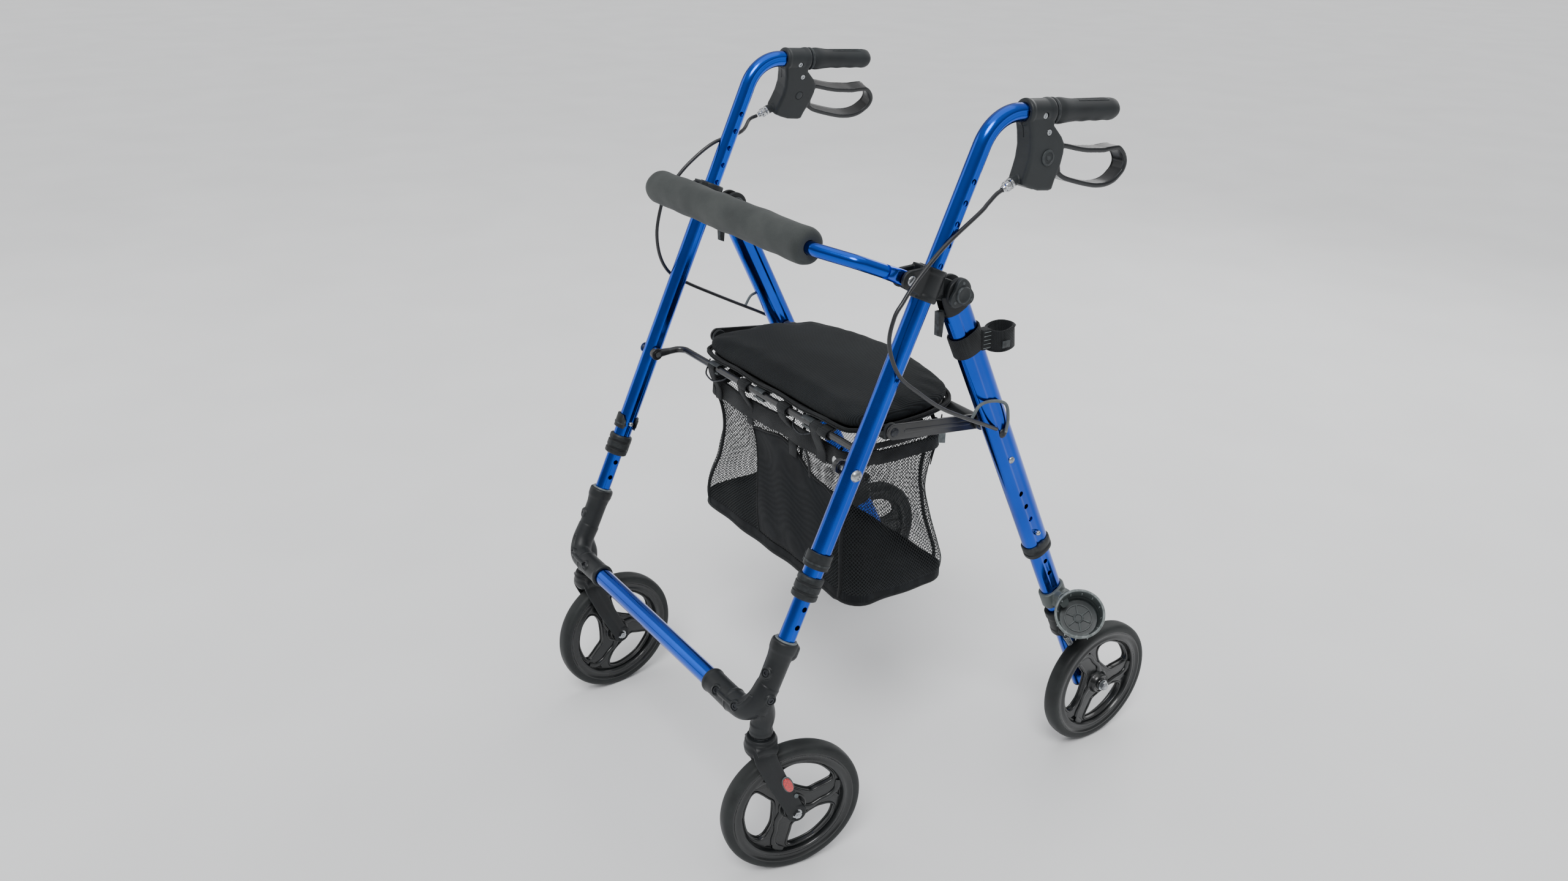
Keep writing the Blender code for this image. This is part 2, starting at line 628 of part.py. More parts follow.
def handle(side, tag):
    """Bent tube rising from inside the front leg, and its grip."""
    path = rounded([front_point(side, HANDLE_BOTTOM), front_point(side, CORNER_Z),
                    handle_point(side, HANDLE_END_Y)], 0.055, 6)
    bent = wire("handle_tube_" + tag, path, INNER_R, caps=False)
    add_wall(bent, INNER_WALL, even=False)
    finish(bent, BLUE, front_point(side, 0.80))

    length = (GRIP_Y1 - GRIP_Y0) / HANDLE_DIR.y
    bore = 0.0113
    profile = [(0, length), (0.0085, length), (0.0118, length - 0.0025),
               (0.0130, length - 0.0070), (0.0131, 0.0320), (0.0150, 0.0200),
               (0.0155, 0.0100), (0.0138, 0.0042), (0.0150, 0.0035), (0.0150, 0.0),
               (bore, 0.0), (bore, length - 0.0050), (0, length - 0.0050)]
    paint(turned("grip_" + tag, profile, handle_point(side, GRIP_Y0), HANDLE_DIR), GREY)


def hand_brake(side, tag):
    """Housing, cam and lever, turned together about the handle tube."""
    leg_x = side * LEG_X
    ring = Matrix.Translation((leg_x, RING_Y, RING_Z))
    turn = Matrix.Rotation(math.radians(CLAMP_TURN[side]), 4, HANDLE_DIR)
    clamp_turn = ring @ turn @ ring.inverted()

    housing = plate("brake_housing_" + tag, [from_front(HOUSING_OUTLINE)],
                    leg_x - 0.0135, leg_x + 0.0135)
    tools = [cylinder("housing_bore_" + tag, 0.0113, handle_point(side, FRONT_Y + 0.3600),
                      handle_point(side, FRONT_Y + 0.4500)),
             box("housing_slot_" + tag, (leg_x - 0.0115, FRONT_Y + 0.3990, 0.8400),
                 (leg_x + 0.0115, FRONT_Y + 0.4600, 0.9110)),
             x_cylinder("housing_hole_" + tag, 0.0064, LEVER_Y, LEVER_Z,
                        leg_x - 0.02, leg_x + 0.02, 16)]
    cut(housing, *tools)
    move([housing, *tools], clamp_turn)
    finish(housing, GREY, handle_point(side, RING_Y - 0.02))

    profile = [(0, 0.0157), (0.0085, 0.0155), (0.0095, 0.0145), (0.0095, 0.0139),
               (0.0058, 0.0139), (0.0058, -0.0133), (0, -0.0133)]
    cam = turned("lever_cam_" + tag, profile, (leg_x, LEVER_Y, LEVER_Z), X * side)
    move([cam], clamp_turn)
    paint(cam, BLACK)

    lever = plate("brake_lever_" + tag,
                  [from_front(LEVER_OUTER), from_front(LEVER_INNER),
                   arc(LEVER_Y, LEVER_Z, 0.0062, 0, 337.5, 15)],
                  leg_x - 0.0110, leg_x + 0.0110)
    move([lever], clamp_turn)
    finish(lever, BLACK, clamp_turn @ Vector((leg_x, LEVER_Y, LEVER_Z)))


def seat_link(side, tag):
    """Link from the rear cross tube to the stud beside the seat."""
    link = plate("seat_link_" + tag,
                 [capsule((STUD_Y, STUD_Z), (LINK_Y, LINK_Z), 0.0105, 6),
                  arc(LINK_Y, LINK_Z, 0.0084, 0, 337.5, 15)],
                 side * 0.2050, side * 0.2085)
    join(link, x_cylinder("link_stud_" + tag, 0.0060, STUD_Y, STUD_Z,
                          side * 0.2080, side * 0.2125))
    finish(link, ROD, (side * 0.2068, LINK_Y, LINK_Z))


# ---------------------------------------------------------------- pieces across the walker
def cross_tubes():
    """Tube between the caster connectors and bar between the rear legs."""
    front_half, rear_half = 0.2230, 0.2288
    bar = tube("front_crossbar", BAR_R, BAR_WALL, (-front_half, BAR_Y, BAR_Z),
               (front_half, BAR_Y, BAR_Z))
    finish(bar, BLUE, (0, BAR_Y, BAR_Z))
    rear = cylinder("rear_cross_tube", 0.0080, (-rear_half, LINK_Y, LINK_Z),
                    (rear_half, LINK_Y, LINK_Z))
    finish(rear, ROD, (0, FOLD_Y, FOLD_Z))


def seat_pivot_rod():
    """U-shaped rod with an eye at each front leg."""
    half, rear_y = 0.2215, FRONT_Y + 0.1970
    path = rounded([(-half, SEAT_Y, SEAT_Z), (-half, rear_y, SEAT_Z), (half, rear_y, SEAT_Z),
                    (half, SEAT_Y, SEAT_Z)], 0.014, 3)
    rod = wire("seat_pivot_rod", path, 0.0048, resolution=1)
    for side, _ in SIDES:
        join(rod, x_cylinder("rod_eye_%d" % side, 0.0088, SEAT_Y, SEAT_Z,
                             side * 0.2175, side * 0.2255))
    for side, _ in SIDES:
        cut(rod, x_cylinder("rod_eye_hole_%d" % side, 0.0042, SEAT_Y, SEAT_Z,
                            side * 0.2100, side * 0.2300))
    finish(rod, ROD, (0, SEAT_Y, SEAT_Z))


def seat():
    """Board with an upturned ear on each side, and the pad above it."""
    bottom = 0.5520
    ear_y0, ear_y1 = STUD_Y - 0.010, STUD_Y + 0.010
    outline = rounded_rect(0.172, FRONT_Y + 0.207, FRONT_Y + 0.402, 0.062, 3)
    board = slab("seat_board", outline, bottom, 0.5560)
    for side, _ in SIDES:
        ear_x = side * 0.2030
        join(board,
             box("board_tab_%d" % side, (side * 0.150, ear_y0, bottom), (ear_x, ear_y1, 0.5555)),
             box("board_ear_%d" % side, (side * 0.1975, ear_y0, bottom),
                 (ear_x, ear_y1, 0.5720)))
    finish(board, BLACK, (0, SEAT_Y, SEAT_Z), smooth=False)

    outline = rounded_rect(SEAT_HALF, SEAT_FRONT, SEAT_REAR, 0.076, 4)
    pad = slab("seat_pad", outline, SEAT_BOTTOM, SEAT_TOP)
    bevel = pad.modifiers.new("soft_edge", 'BEVEL')
    bevel.width = 0.006
    bevel.segments = 1
    bevel.limit_method = 'ANGLE'
    bevel.angle_limit = math.radians(60)
    finish(pad, FABRIC, (0, SEAT_Y, SEAT_Z))


def basket():
    """Thin open-topped bag with rounded upright edges."""
    mesh = bpy.data.meshes.new("basket")
    bm = bmesh.new()
    bmesh.ops.create_cube(bm, size=1)
    top = [face for face in bm.faces if face.normal.z > 0.5]
    bmesh.ops.delete(bm, geom=top, context='FACES_ONLY')
    for vert in bm.verts:
        vert.co.x *= 2 * BASKET_HALF
        vert.co.y = BASKET_FRONT if vert.co.y < 0 else BASKET_REAR
        vert.co.z = BASKET_TOP if vert.co.z > 0 else BASKET_BOTTOM
    uprights = [e for e in bm.edges if abs(e.verts[0].co.z - e.verts[1].co.z) > 0.1]
    bmesh.ops.bevel(bm, geom=uprights, offset=0.022, segments=3, profile=0.5, affect='EDGES')
    bm.to_mesh(mesh)
    bm.free()
    bag = bpy.data.objects.new("basket", mesh)
    PARTS.objects.link(bag)
    add_wall(bag, 0.0030)
    finish(bag, MESH, (0, (BASKET_FRONT + BASKET_REAR) / 2, BASKET_TOP), smooth=False)


def backrest():
    """Bent bar hinged on the pivot brackets, with a foam sleeve."""
    half = [(LEG_X, FRONT_Y + 0.2000, 0.7808), (0.2270, FRONT_Y + 0.1640, 0.7955),
            (0.1860, PAD_Y, PAD_Z)]
    path = rounded([(-x, y, z) for x, y, z in half] + half[::-1], 0.022, 3)
    bar = wire("backrest_bar", path, BACK_BAR_R)
    for side, _ in SIDES:
        leg_x = side * LEG_X
        eye = capsule((FRONT_Y + 0.1960, 0.7826), (BACK_Y, BACK_Z), 0.0092, 6)
        join(bar, plate("bar_eye_%d" % side, [eye], leg_x - 0.0050, leg_x + 0.0050))
    for side, _ in SIDES:
        leg_x = side * LEG_X
        cut(bar, x_cylinder("bar_eye_hole_%d" % side, 0.0040, BACK_Y, BACK_Z,
                            leg_x - 0.02, leg_x + 0.02))
    finish(bar, BLUE, (0, BACK_Y, BACK_Z))

    bore = BACK_BAR_R + BORE_GAP
    profile = [(0.0150, PAD_HALF), (0.0200, PAD_HALF - 0.0025), (PAD_R, PAD_HALF - 0.0080),
               (PAD_R, -PAD_HALF + 0.0080), (0.0200, -PAD_HALF + 0.0025), (0.0150, -PAD_HALF),
               (bore, -PAD_HALF), (bore, PAD_HALF)]
    paint(turned("backrest_pad", profile, (0, PAD_Y, PAD_Z), X, 20, closed=True), FOAM)


# ---------------------------------------------------------------- cane holder, left rear leg
def cane_strap():
    """Band around the leg with a loop outside it for the cane."""
    centre = rear_point(1, 0.6780)
    on_leg = Matrix.Translation(centre) @ basis(REAR_UP)
    hanging = (Matrix.Translation((LEG_X + 0.0130, FRONT_Y + 0.3645, 0.6790))
               @ Matrix.Rotation(math.radians(6), 4, 'X'))

    def oval(name, half_x, half_y, count, height, place):
        return prism(name, [oval_outline(half_x, half_y, count)], height, place)

    strap = oval("cane_strap", REAR_A + 0.0030, REAR_B + 0.0030, 16, 0.030, on_leg)
    join(strap, oval("strap_loop", 0.0165, 0.0195, 20, 0.0284, hanging))
    cut(strap, oval("strap_cane_hole", 0.0141, 0.0171, 20, 0.05, hanging))
    join(strap, box("strap_seam", (LEG_X + 0.0020, FRONT_Y + 0.3330, 0.6690),
                    (LEG_X + 0.0180, FRONT_Y + 0.3478, 0.6905)))
    cut(strap, oval("strap_leg_hole", REAR_A + 0.0006, REAR_B + 0.0006, 16, 0.09, on_leg))
    finish(strap, BLACK, centre)


def cane_cup():
    """Tilted cup for the cane tip, with a lug to a clamp on the lower rear tube."""
    axis = Vector((0.50, -0.545, 0.67)).normalized()
    mouth = Vector((0.3000, FRONT_Y + 0.5209, 0.2544))
    clamp_at = rear_point(1, 0.2560)
    cup_profile = [(0, -0.0370), (0.0268, -0.0370), (0.0305, -0.0020), (0.0310, 0.0),
                   (0.0330, 0.0), (0.0345, -0.0012), (0.0345, -0.0040), (0.0325, -0.0060),
                   (0.0290, -0.0400), (0, -0.0400)]
    hollow_profile = [(0, 0.02), (0.0304, 0.02), (0.0303, -0.0020), (0.0266, -0.0368),
                      (0, -0.0368)]
    cup = turned("cane_cup", cup_profile, mouth, axis)

    # the lug ends in the cup wall, on the side facing the clamp
    offset = mouth - clamp_at
    away = (offset - axis * offset.dot(axis)).normalized()
    lug_end = mouth - axis * 0.014 - away * 0.0300
    clamp = cylinder("cup_clamp_body", 0.0195, *rear_span(1, 0.2440, 0.2680), half_x=0.0130)
    join(clamp, cylinder("cup_lug", 0.0060, (LEG_X + 0.004, clamp_at.y - 0.002, 0.2560),
                         lug_end, 12))
    join(cup, clamp)
    # both openings are cut last, to clear whatever the clamp and lug fill
    cut(cup,
        lower_rear_bore("cup_tube_bore", 1, 0.2200, 0.2900),
        turned("cup_hollow", hollow_profile, mouth, axis))
    paint(cup, GREY)


# ---------------------------------------------------------------- assembly
SIDE_PIECES = (front_leg, leg_end_fittings, pivot_bracket, seat_pivot_bolt, front_inner_tube,
               caster_connector, caster, rear_leg, rear_leg_head, rear_inner_tube, rear_brake,
               rear_wheel_and_axle, handle, hand_brake, seat_link)
CENTRE_PIECES = (cross_tubes, seat_pivot_rod, seat, basket, backrest, cane_strap, cane_cup)

for side, tag in SIDES:
    for build in SIDE_PIECES:
        build(side, tag)
for build in CENTRE_PIECES:
    build()

# bring the middle of the outer box to the origin
for obj in bpy.data.objects:
    obj.location.x -= OUTER_BOX_X
    obj.location.y -= OUTER_BOX_Y
bpy.context.view_layer.update()
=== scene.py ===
# A folding four-wheeled walker with seat, backrest, basket, brakes and a cane holder.
# It stands on z = 0. x runs across it (left is +x), the front is at -y, the handles are at +y.
import bpy
import bmesh
import math
import numpy as np
from mathutils import Vector, Matrix

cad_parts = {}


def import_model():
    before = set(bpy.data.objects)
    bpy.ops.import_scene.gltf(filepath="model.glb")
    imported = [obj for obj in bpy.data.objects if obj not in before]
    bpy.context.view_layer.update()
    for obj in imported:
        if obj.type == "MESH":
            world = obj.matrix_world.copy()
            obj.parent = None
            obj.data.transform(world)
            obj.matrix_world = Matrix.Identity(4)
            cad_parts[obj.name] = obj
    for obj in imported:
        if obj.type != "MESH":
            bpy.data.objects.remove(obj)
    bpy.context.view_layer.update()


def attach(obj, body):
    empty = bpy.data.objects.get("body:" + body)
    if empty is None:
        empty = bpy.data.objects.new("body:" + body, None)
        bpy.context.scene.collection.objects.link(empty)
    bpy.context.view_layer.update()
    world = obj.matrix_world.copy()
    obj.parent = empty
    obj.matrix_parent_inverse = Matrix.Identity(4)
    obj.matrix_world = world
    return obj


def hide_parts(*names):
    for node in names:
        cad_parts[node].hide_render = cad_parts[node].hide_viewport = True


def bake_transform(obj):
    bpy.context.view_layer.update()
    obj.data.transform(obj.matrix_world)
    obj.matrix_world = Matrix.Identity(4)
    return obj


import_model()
COLLECTION = bpy.context.scene.collection
X, Y, Z = Vector((1, 0, 0)), Vector((0, 1, 0)), Vector((0, 0, 1))

# ---------------------------------------------------------------- dimensions (metres)
LEG_X = 0.2417                          # leg planes, either side of the middle
DATUM_Y, DATUM_Z = -0.33, 0.2           # the front leg axis passes through this point
FRONT_RAKE, REAR_RAKE = 0.456, -0.4843  # y gained per metre of height
REAR_Y = DATUM_Y + 0.5541               # rear leg axis at DATUM_Z
LEG_R, INNER_R = 0.0127, 0.0109         # front outer and inner tube
REAR_A, REAR_B = 0.0125, 0.019          # rear outer tube, half sizes in x and y
RIN_A, RIN_B = 0.0095, 0.016            # rear inner tube, likewise
WHEEL_R = 0.09525
AXLE_Z = WHEEL_R
CASTER_X, CASTER_Y, TRAIL = 0.238, DATUM_Y + 0.033, 0.0416
SWIVEL = {1: 11.5, -1: -3.2}            # caster heading, degrees, by side
TURN = {1: 0.0, -1: 20.0}               # brake clamp turned about the handle, degrees
REAR_WHEEL_X = 0.2725
REAR_AXLE_Y = REAR_Y + REAR_RAKE * (AXLE_Z - DATUM_Z)
HUB_HALF = 0.015

# cross axes as (y, z)
FOLD = (DATUM_Y + 0.2958, 0.7435)
SEAT = (DATUM_Y + 0.153, 0.5465)
LINK = (DATUM_Y + 0.3877, 0.5435)
STUD = (DATUM_Y + 0.2465, 0.562)
BACK = (DATUM_Y + 0.222, 0.771)
PAD = (DATUM_Y + 0.138, 0.803)
LEVER = (DATUM_Y + 0.4158, 0.888)
SHOE = (DATUM_Y + 0.548, 0.2085)
BAR = (DATUM_Y + 0.016, 0.2535)
SEAT_ROD_Y = DATUM_Y + 0.197            # the long run of the seat rod, at SEAT height
GRIP_Y0, GRIP_Y1 = DATUM_Y + 0.4262, DATUM_Y + 0.535
HANDLE_RAKE, RING_Z, RING_Y = -0.0634, 0.9383, DATUM_Y + 0.4279
BUTTON_Z, REAR_BUTTON_Z = 0.4425, 0.3765

FRONT_UP = Vector((0, FRONT_RAKE, 1)).normalized()
REAR_UP = Vector((0, REAR_RAKE, 1)).normalized()
HANDLE_DIR = Vector((0, 1, HANDLE_RAKE)).normalized()
SIDES = ((1, "left"), (-1, "right"))
# everything is built round the plane midway between the legs, then moved to the final origin
SHIFT = Matrix.Translation((-0.01578, -0.00963, 0.0))
PIECES = []


def front_leg(side, z):
    return Vector((side * LEG_X, DATUM_Y + FRONT_RAKE * (z - DATUM_Z), z))


def rear_leg(side, z):
    return Vector((side * LEG_X, REAR_Y + REAR_RAKE * (z - DATUM_Z), z))


def handle_z(y):
    return RING_Z + HANDLE_RAKE * (y - RING_Y)


def spot(x, y, z):
    """Point whose y is measured from the datum."""
    return (x, DATUM_Y + y, z)


def yz_points(*points):
    """(y, z) points whose y is measured from the datum."""
    return [(DATUM_Y + y, z) for y, z in points]


def pose(place, axis=Z, toward=X):
    """Frame at place, local Z along axis and local X as near toward as it can be."""
    axis = Vector(axis).normalized()
    across = Vector(toward)
    across = across - axis * across.dot(axis)
    if across.length < 1e-6:
        across = Y - axis * Y.dot(axis)
    across.normalize()
    turn = Matrix((across, axis.cross(across), axis)).transposed().to_4x4()
    return Matrix.Translation(Vector(place)) @ turn


def about(point, degrees, axis):
    """Rotation about an axis through a point."""
    centre = Matrix.Translation(point)
    return centre @ Matrix.Rotation(math.radians(degrees), 4, axis) @ centre.inverted()


# ---------------------------------------------------------------- material builder
def srgb(*levels):
    """Linear RGBA from 0-255 sRGB levels."""
    parts = [level / 255.0 for level in levels]
    return tuple(c / 12.92 if c <= 0.04045 else ((c + 0.055) / 1.055) ** 2.4
                 for c in parts) + (1.0,)


def as_colour(value):
    return srgb(*value) if isinstance(value, tuple) else value


class Mat:
    """A procedural material. Texture coordinates are metres in object space."""

    def __init__(self, name, metal=0.0, coat=0.0, coat_rough=0.1, sheen=0.0, spec=0.5):
        self.material = bpy.data.materials.new(name)
        self.material.use_nodes = True
        self.tree = self.material.node_tree
        self.tree.nodes.clear()
        output = self.tree.nodes.new("ShaderNodeOutputMaterial")
        self.shader = self.tree.nodes.new("ShaderNodeBsdfPrincipled")
        self.tree.links.new(self.shader.outputs[0], output.inputs[0])
        self.coords = self.tree.nodes.new("ShaderNodeTexCoord").outputs["Object"]
        self.normal = None
        self.fill(self.shader, {"Metallic": metal, "Coat Weight": coat,
                                "Coat Roughness": coat_rough, "Sheen Weight": sheen,
                                "Specular IOR Level": spec})

    def fill(self, node, inputs):
        """Link each socket or set each value."""
        for key, value in inputs.items():
            if hasattr(value, "node"):
                self.tree.links.new(value, node.inputs[key])
            else:
                node.inputs[key].default_value = value

    def node(self, kind, output, inputs, **settings):
        """Add a node and return one of its outputs."""
        node = self.tree.nodes.new(kind)
        for key, value in settings.items():
            setattr(node, key, value)
        self.fill(node, inputs)
        return node.outputs[output]

    def stretched(self, scale):
        return self.node("ShaderNodeMapping", 0, {"Scale": scale, "Vector": self.coords})

    def noise(self, scale, detail=2.0, rough=0.5, vector=None):
        return self.node("ShaderNodeTexNoise", "Fac", {
            "Scale": scale, "Detail": detail, "Roughness": rough,
            "Vector": vector or self.coords})

    def cells(self, scale):
        return self.node("ShaderNodeTexVoronoi", "Distance",
                         {"Scale": scale, "Vector": self.coords})

    def bands(self, period, direction="X", distort=0.3):
        # a wave texture of scale 1 repeats every 0.314159 m
        return self.node("ShaderNodeTexWave", "Fac", {
            "Scale": 0.314159 / period, "Distortion": distort, "Detail": 1.0,
            "Detail Scale": 1.5, "Vector": self.coords},
            wave_type="BANDS", bands_direction=direction)

    def times(self, first, second):
        return self.node("ShaderNodeMath", 0, {0: first, 1: second, 2: 0.0},
                         operation="MULTIPLY")

    def plus(self, first, second):
        return self.node("ShaderNodeMath", 0, {0: first, 1: second, 2: 0.0}, operation="ADD")

    def ramp(self, source, to=(0.0, 1.0), over=(0.3, 0.7)):
        """Runs through 'to' as the source runs through 'over', clamped."""
        return self.node("ShaderNodeMapRange", 0, {
            "Value": source, "From Min": over[0], "From Max": over[1],
            "To Min": to[0], "To Max": to[1]})

    def mix(self, factor, base, other):
        return self.node("ShaderNodeMix", 2,
                         {0: factor, 6: as_colour(base), 7: as_colour(other)},
                         data_type="RGBA")

    def tint(self, source, base, other, over=(0.3, 0.7), to=(0.0, 1.0)):
        """Mixes from base to other as the source runs through 'over'."""
        return self.mix(self.ramp(source, to, over), base, other)

    def edge(self, over=(0.52, 0.60)):
        """0 on flat areas, 1 on convex edges."""
        pointiness = self.node("ShaderNodeNewGeometry", "Pointiness", {})
        return self.ramp(pointiness, over=over)

    def bump(self, height, distance, strength):
        inputs = {"Strength": strength, "Distance": distance, "Height": height}
        if self.normal is not None:
            inputs["Normal"] = self.normal
        self.normal = self.node("ShaderNodeBump", 0, inputs)
        return self

    def done(self, colour, rough):
        inputs = {"Base Color": colour, "Roughness": rough}
        if self.normal is not None:
            inputs["Normal"] = self.normal
        self.fill(self.shader, inputs)
        return self.material


# ---------------------------------------------------------------- materials
def blue_anodised():
    mat = Mat("blue_anodised_tube", metal=1.0, coat=0.35, coat_rough=0.06)
    cloud, fine = mat.noise(scale=7), mat.noise(scale=900, detail=3, rough=0.6)
    grain = mat.noise(scale=1.0, vector=mat.stretched((700, 60, 60)))
    colour = mat.tint(cloud, (0, 66, 176), (0, 82, 204))
    colour = mat.tint(fine, colour, (30, 130, 240), over=(0.66, 0.8), to=(0.0, 0.10))
    mat.bump(grain, distance=0.00003, strength=0.2)
    mat.bump(fine, distance=0.00002, strength=0.15)
    return mat.done(colour, mat.ramp(mat.noise(scale=60, detail=3), to=(0.15, 0.22)))


def plastic(name, dark, light, edge_wear_and_highlight, rough, grain, strength=0.3, coat=0.0):
    """Grained plastic with lighter edges, partly edge wear and partly a painted edge highlight,
    and dust specks.
    """
    mat = Mat(name, coat=coat, coat_rough=0.25, spec=0.32)
    cloud, fine = mat.noise(scale=24, detail=3), mat.noise(scale=grain, rough=0.6)
    colour = mat.tint(cloud, dark, light, over=(0.25, 0.75))
    # convex edges lightened in patches: partly edge wear, partly a painted edge highlight
    wear_and_highlight_patches = mat.ramp(mat.noise(scale=180, detail=3), to=(0.15, 1.0), over=(0.35, 0.65))
    colour = mat.mix(mat.times(mat.edge(), wear_and_highlight_patches), colour, edge_wear_and_highlight)
    dust = mat.noise(scale=420, detail=4, rough=0.65)
    colour = mat.tint(dust, colour, (120, 126, 126), over=(0.70, 0.86), to=(0.0, 0.06))
    mat.bump(fine, distance=0.00008, strength=strength)
    mat.bump(mat.cells(grain * 0.7), distance=0.00005, strength=0.2)
    return mat.done(colour, mat.ramp(cloud, to=(rough - 0.08, rough + 0.10),
                                     over=(0.25, 0.75)))


def steel(name, colour=(196, 200, 204), rough=0.22):
    mat = Mat(name, metal=1.0)
    cloud = mat.noise(scale=260, detail=4, rough=0.6)
    brushed = mat.noise(scale=1.0, vector=mat.stretched((1600, 120, 120)))
    mixed = mat.tint(cloud, colour, tuple(int(level * 0.72) for level in colour))
    mat.bump(brushed, distance=0.00002, strength=0.3)
    return mat.done(mixed, mat.ramp(cloud, to=(rough, rough + 0.2), over=(0.3, 0.75)))


def black_paint():
    mat = Mat("black_powder_coat", coat=0.35, coat_rough=0.2)
    grain = mat.noise(scale=1400, rough=0.6)
    colour = mat.tint(mat.noise(scale=30, detail=3), (20, 21, 22), (33, 34, 36))
    # convex edges lightened: partly edge wear, partly a painted edge highlight
    colour = mat.mix(mat.times(mat.edge(over=(0.53, 0.62)), 0.5), colour, (92, 96, 98))
    mat.bump(grain, distance=0.00006, strength=0.4)
    return mat.done(colour, mat.ramp(grain, to=(0.30, 0.42)))


def wheel_plastic():
    mat = Mat("wheel_black_gloss", coat=0.35, coat_rough=0.08, spec=0.4)
    cloud = mat.noise(scale=20, detail=3)
    fine = mat.noise(scale=700, detail=3, rough=0.6)
    dust = mat.noise(scale=300, detail=4, rough=0.7)
    colour = mat.tint(cloud, (15, 17, 18), (25, 28, 29))
    colour = mat.tint(dust, colour, (78, 83, 84), over=(0.66, 0.82), to=(0.0, 0.22))
    mat.bump(fine, distance=0.00005, strength=0.25)
    return mat.done(colour, mat.ramp(cloud, to=(0.24, 0.36)))


def tread_rubber():
    mat = Mat("tread_rubber", spec=0.28)
    cloud = mat.noise(scale=35, detail=4)
    fine = mat.noise(scale=1200, detail=3, rough=0.6)
    dust = mat.noise(scale=520, detail=4, rough=0.7)
    colour = mat.tint(cloud, (28, 30, 31), (42, 45, 45))
    colour = mat.tint(dust, colour, (88, 90, 88), over=(0.62, 0.80), to=(0.0, 0.35))
    mat.bump(fine, distance=0.0001, strength=0.4)
    mat.bump(mat.cells(800), distance=0.00008, strength=0.2)
    return mat.done(colour, mat.ramp(cloud, to=(0.42, 0.58)))


def foam():
    mat = Mat("closed_cell_foam", sheen=0.1, spec=0.25)
    cloud = mat.noise(scale=22, detail=3)
    fine = mat.noise(scale=1500, detail=3, rough=0.65)
    pores = mat.cells(1100)
    colour = mat.tint(cloud, (54, 58, 58), (69, 73, 72))
    colour = mat.tint(pores, colour, (28, 31, 31), over=(0.05, 0.5), to=(0.35, 0.0))
    mat.bump(pores, distance=0.00022, strength=0.5)
    mat.bump(fine, distance=0.00012, strength=0.4)
    return mat.done(colour, mat.ramp(fine, to=(0.72, 0.88)))


def ribbed_fabric():
    mat = Mat("ribbed_seat_fabric", sheen=0.04, spec=0.2)
    ribs = mat.bands(period=0.00235, distort=0.35)
    knit = mat.times(mat.bands(period=0.0012, direction="Y", distort=0.6),
                     mat.bands(period=0.0012, direction="Z", distort=0.6))
    fuzz = mat.noise(scale=2200, detail=3, rough=0.65)
    colour = mat.tint(mat.noise(scale=14, detail=3), (27, 31, 33), (35, 39, 41))
    # grooves between the ribs darkened almost to black: painted shade in the grooves
    colour = mat.tint(ribs, colour, (7, 8, 9), over=(0.0, 0.6), to=(0.9, 0.0))
    lint = mat.times(mat.ramp(fuzz, over=(0.55, 0.75)), 0.18)
    colour = mat.mix(lint, colour, (70, 78, 80))
    height = mat.plus(mat.times(ribs, 1.0), mat.times(knit, 0.45))
    mat.bump(height, distance=0.0007, strength=0.75)
    mat.bump(fuzz, distance=0.0002, strength=0.35)
    return mat.done(colour, rough=0.86)


def webbing(name="black_webbing", dark=(17, 19, 21), light=(34, 37, 39), period=0.0016):
    mat = Mat(name, sheen=0.1, spec=0.25)
    slant, rows, columns = (mat.bands(period, way) for way in ("DIAGONAL", "Z", "X"))
    fuzz = mat.noise(scale=1800, detail=3, rough=0.6)
    weave = mat.plus(mat.times(rows, columns), mat.times(slant, 0.5))
    colour = mat.tint(weave, dark, light, over=(0.1, 1.2))
    colour = mat.tint(mat.noise(scale=40, detail=3), colour, (52, 56, 58),
                      over=(0.45, 0.7), to=(0.0, 0.2))
    mat.bump(weave, distance=0.0004, strength=0.6)
    mat.bump(fuzz, distance=0.00015, strength=0.3)
    return mat.done(colour, mat.ramp(fuzz, to=(0.72, 0.9)))


def bag_cloth():
    mat = Mat("basket_solid_cloth", sheen=0.05, spec=0.2)
    along, over, upright = (mat.bands(0.0013, way) for way in "XYZ")
    fuzz = mat.noise(scale=1500, detail=3, rough=0.6)
    weave = mat.plus(mat.times(along, over), mat.times(along, upright))
    colour = mat.tint(mat.noise(scale=12, detail=3), (13, 15, 18), (20, 23, 26))
    shine = mat.times(mat.ramp(weave, over=(0.3, 1.4)), 0.3)
    colour = mat.mix(shine, colour, (40, 45, 49))
    mat.bump(weave, distance=0.0003, strength=0.5)
    mat.bump(fuzz, distance=0.0002, strength=0.3)
    mat.bump(mat.noise(scale=30), distance=0.003, strength=0.4)
    return mat.done(colour, rough=0.8)


def net_strand():
    mat = Mat("basket_net_strand", sheen=0.05, spec=0.25)
    fine = mat.noise(scale=900, detail=3, rough=0.6)
    colour = mat.tint(fine, (22, 25, 27), (44, 48, 50))
    mat.bump(fine, distance=0.00008, strength=0.4)
    return mat.done(colour, rough=0.75)


def reflector():
    mat = Mat("red_reflector", coat=1.0, coat_rough=0.05, spec=0.6)
    facets = mat.cells(420)
    colour = mat.tint(facets, (236, 10, 22), (150, 0, 10), over=(0.0, 0.8))
    mat.bump(facets, distance=0.0003, strength=0.6)
    return mat.done(colour, mat.ramp(facets, to=(0.15, 0.35), over=(0.0, 1.0)))


def cable_skin(name, dark, light, metal=0.0, rough=0.4):
    mat = Mat(name, metal=metal, coat=0.3, coat_rough=0.2)
    fine = mat.noise(scale=500, detail=3, rough=0.6)
    rings = mat.bands(period=0.0011, direction="Z", distort=0.4)
    colour = mat.tint(fine, dark, light)
    mat.bump(fine, distance=0.00005, strength=0.3)
    mat.bump(rings, distance=0.00005, strength=0.25)
    return mat.done(colour, mat.ramp(fine, to=(rough - 0.06, rough + 0.12)))


